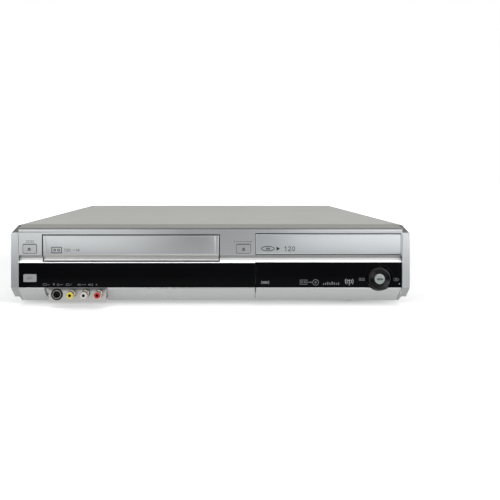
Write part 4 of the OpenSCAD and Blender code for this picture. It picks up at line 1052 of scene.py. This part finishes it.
dress(finish("turned_black", (0.007, 0.007, 0.007), 0.34, metal=0.2, grain=0.0003, bump=0.05, vary=0.1,
             radius=0.0003, sockets={"Specular IOR Level": 0.25}), "select_ring")
RING_INNER, RING_OUTER = (6.3, -174.27), (10.7, -175.36)
RING_STEPS = 144
GROOVES = 14
VALLEY, RIDGE = 0.03, 0.16
grooved = bmesh.new()
section = []
for i in range(2 * GROOVES + 1):
    share = i / (2 * GROOVES)
    lift = VALLEY if i % 2 == 0 else RIDGE
    section.append((RING_INNER[0] + (RING_OUTER[0] - RING_INNER[0]) * share,
                    RING_INNER[1] + (RING_OUTER[1] - RING_INNER[1]) * share - lift))
section += [(RING_OUTER[0], RING_OUTER[1] + 0.05), (RING_INNER[0], RING_INNER[1] + 0.05)]
turned(grooved, section, *RING_AT, RING_STEPS)
groove_black = finish("anodised_black", (0.006, 0.006, 0.0065), 0.3, metal=0.7, grain=0.0003, bump=0.03,
                      vary=0.1, wear=0, radius=0.00005, sockets={"Specular IOR Level": 0.2})

# Painted highlight: the ring is painted paler in two fans across from each other, where light would glint on
# its turned grooves.
FAN_LINE = (-0.87, 0.5)
FAN_EDGE, FAN_MIDDLE = 0.86, 0.99
FAN_HIGHLIGHT_COLOUR = (0.05, 0.048, 0.05)
tree = groove_black.node_tree
place = object_place(tree)
across = math_node(tree, "SUBTRACT", place["X"], RING_AT[0] * MM)
height = math_node(tree, "SUBTRACT", place["Z"], RING_AT[1] * MM)
along = math_node(tree, "ADD", product(tree, across, FAN_LINE[0]), product(tree, height, FAN_LINE[1]))
reach = math_node(tree, "ADD", product(tree, across, across), product(tree, height, height))
turned_to = math_node(tree, "DIVIDE", along, math_node(tree, "SQRT", reach))
fans = fade(tree, math_node(tree, "ABSOLUTE", turned_to), FAN_EDGE, FAN_MIDDLE)
overpaint(groove_black, fans, FAN_HIGHLIGHT_COLOUR)
as_piece("ring_face", grooved, "select_ring", groove_black, crease=12)

dress(finish("centre_paint", (0.34, 0.375, 0.36), 0.38, metal=0.3, grain=0.0002, bump=0.04, vary=0.03,
             radius=0.0004, dirt=0.01), "select_button")
CENTRE_FRONT = -175.85
ink = bmesh.new()
middle = RING_AT[0]
for side in (-1, 1):
    patch(ink, [(middle + side * 1.5, 34.2), (middle + side * 3.6, 32.9), (middle + side * 1.5, 31.6)])
    solid_box(ink, tuple(sorted((middle + side * 0.3, middle + side * 1.1))), (31.7, 34.1))
print_marks("centre_mark", ink, CENTRE_FRONT, "select_button", dark_ink, sunk=0.25)

# ---------- boards ----------
# Two circuit boards in green solder mask and a supply board in plain phenolic paper, with a
# ferrite transformer, finned heatsinks and sleeved capacitors.

dress(finish("solder_mask", (0.015, 0.09, 0.035), 0.3, grain=0.002, bump=0.1, vary=0.2, radius=0.0002),
      "front_board", "main_board")
dress(finish("board_paper", (0.42, 0.28, 0.11), 0.5, grain=0.0015, bump=0.1, vary=0.1, radius=0.0002),
      "power_board")
dress(finish("ferrite", (0.05, 0.05, 0.052), 0.6, grain=0.0005, bump=0.2, vary=0.15), "transformer")
dress(finish("aluminium", (0.66, 0.67, 0.68), 0.28, metal=1, grain=0.0004, stretch=(1, 1, 12), bump=0.06,
             vary=0.06, radius=0.0002), "heatsinks", "lower_drum", "upper_drum")
dress(finish("can_sleeve", (0.012, 0.016, 0.05), 0.25, grain=0.0005, bump=0.03, vary=0.15), "capacitors")

# ---------- mechanisms ----------
# The cassette deck threads the tape from its two reels round the head drum, and the disc drive
# slides its tray on a rack. Mouldings in grey and white plastic run on ground steel pins.

dress(finish("grey_moulding", (0.16, 0.16, 0.17), 0.45, grain=0.0003, bump=0.1, vary=0.08),
      "tape_heads", "deck_motors", "supply_reel", "takeup_reel", "pickup_sled")
dress(finish("ground_steel", (0.6, 0.6, 0.61), 0.2, metal=1, grain=0.0003, bump=0.03, vary=0.05,
             radius=0.0002),
      "tape_guides", "sled_rails", "capstan", "supply_carriage", "takeup_carriage")
dress(finish("white_moulding", (0.7, 0.69, 0.64), 0.4, grain=0.0003, bump=0.06, vary=0.05), "tray_gear")
dress(finish("roller_rubber", (0.022, 0.022, 0.022), 0.6, grain=0.0002, bump=0.1, vary=0.1), "pinch_roller")
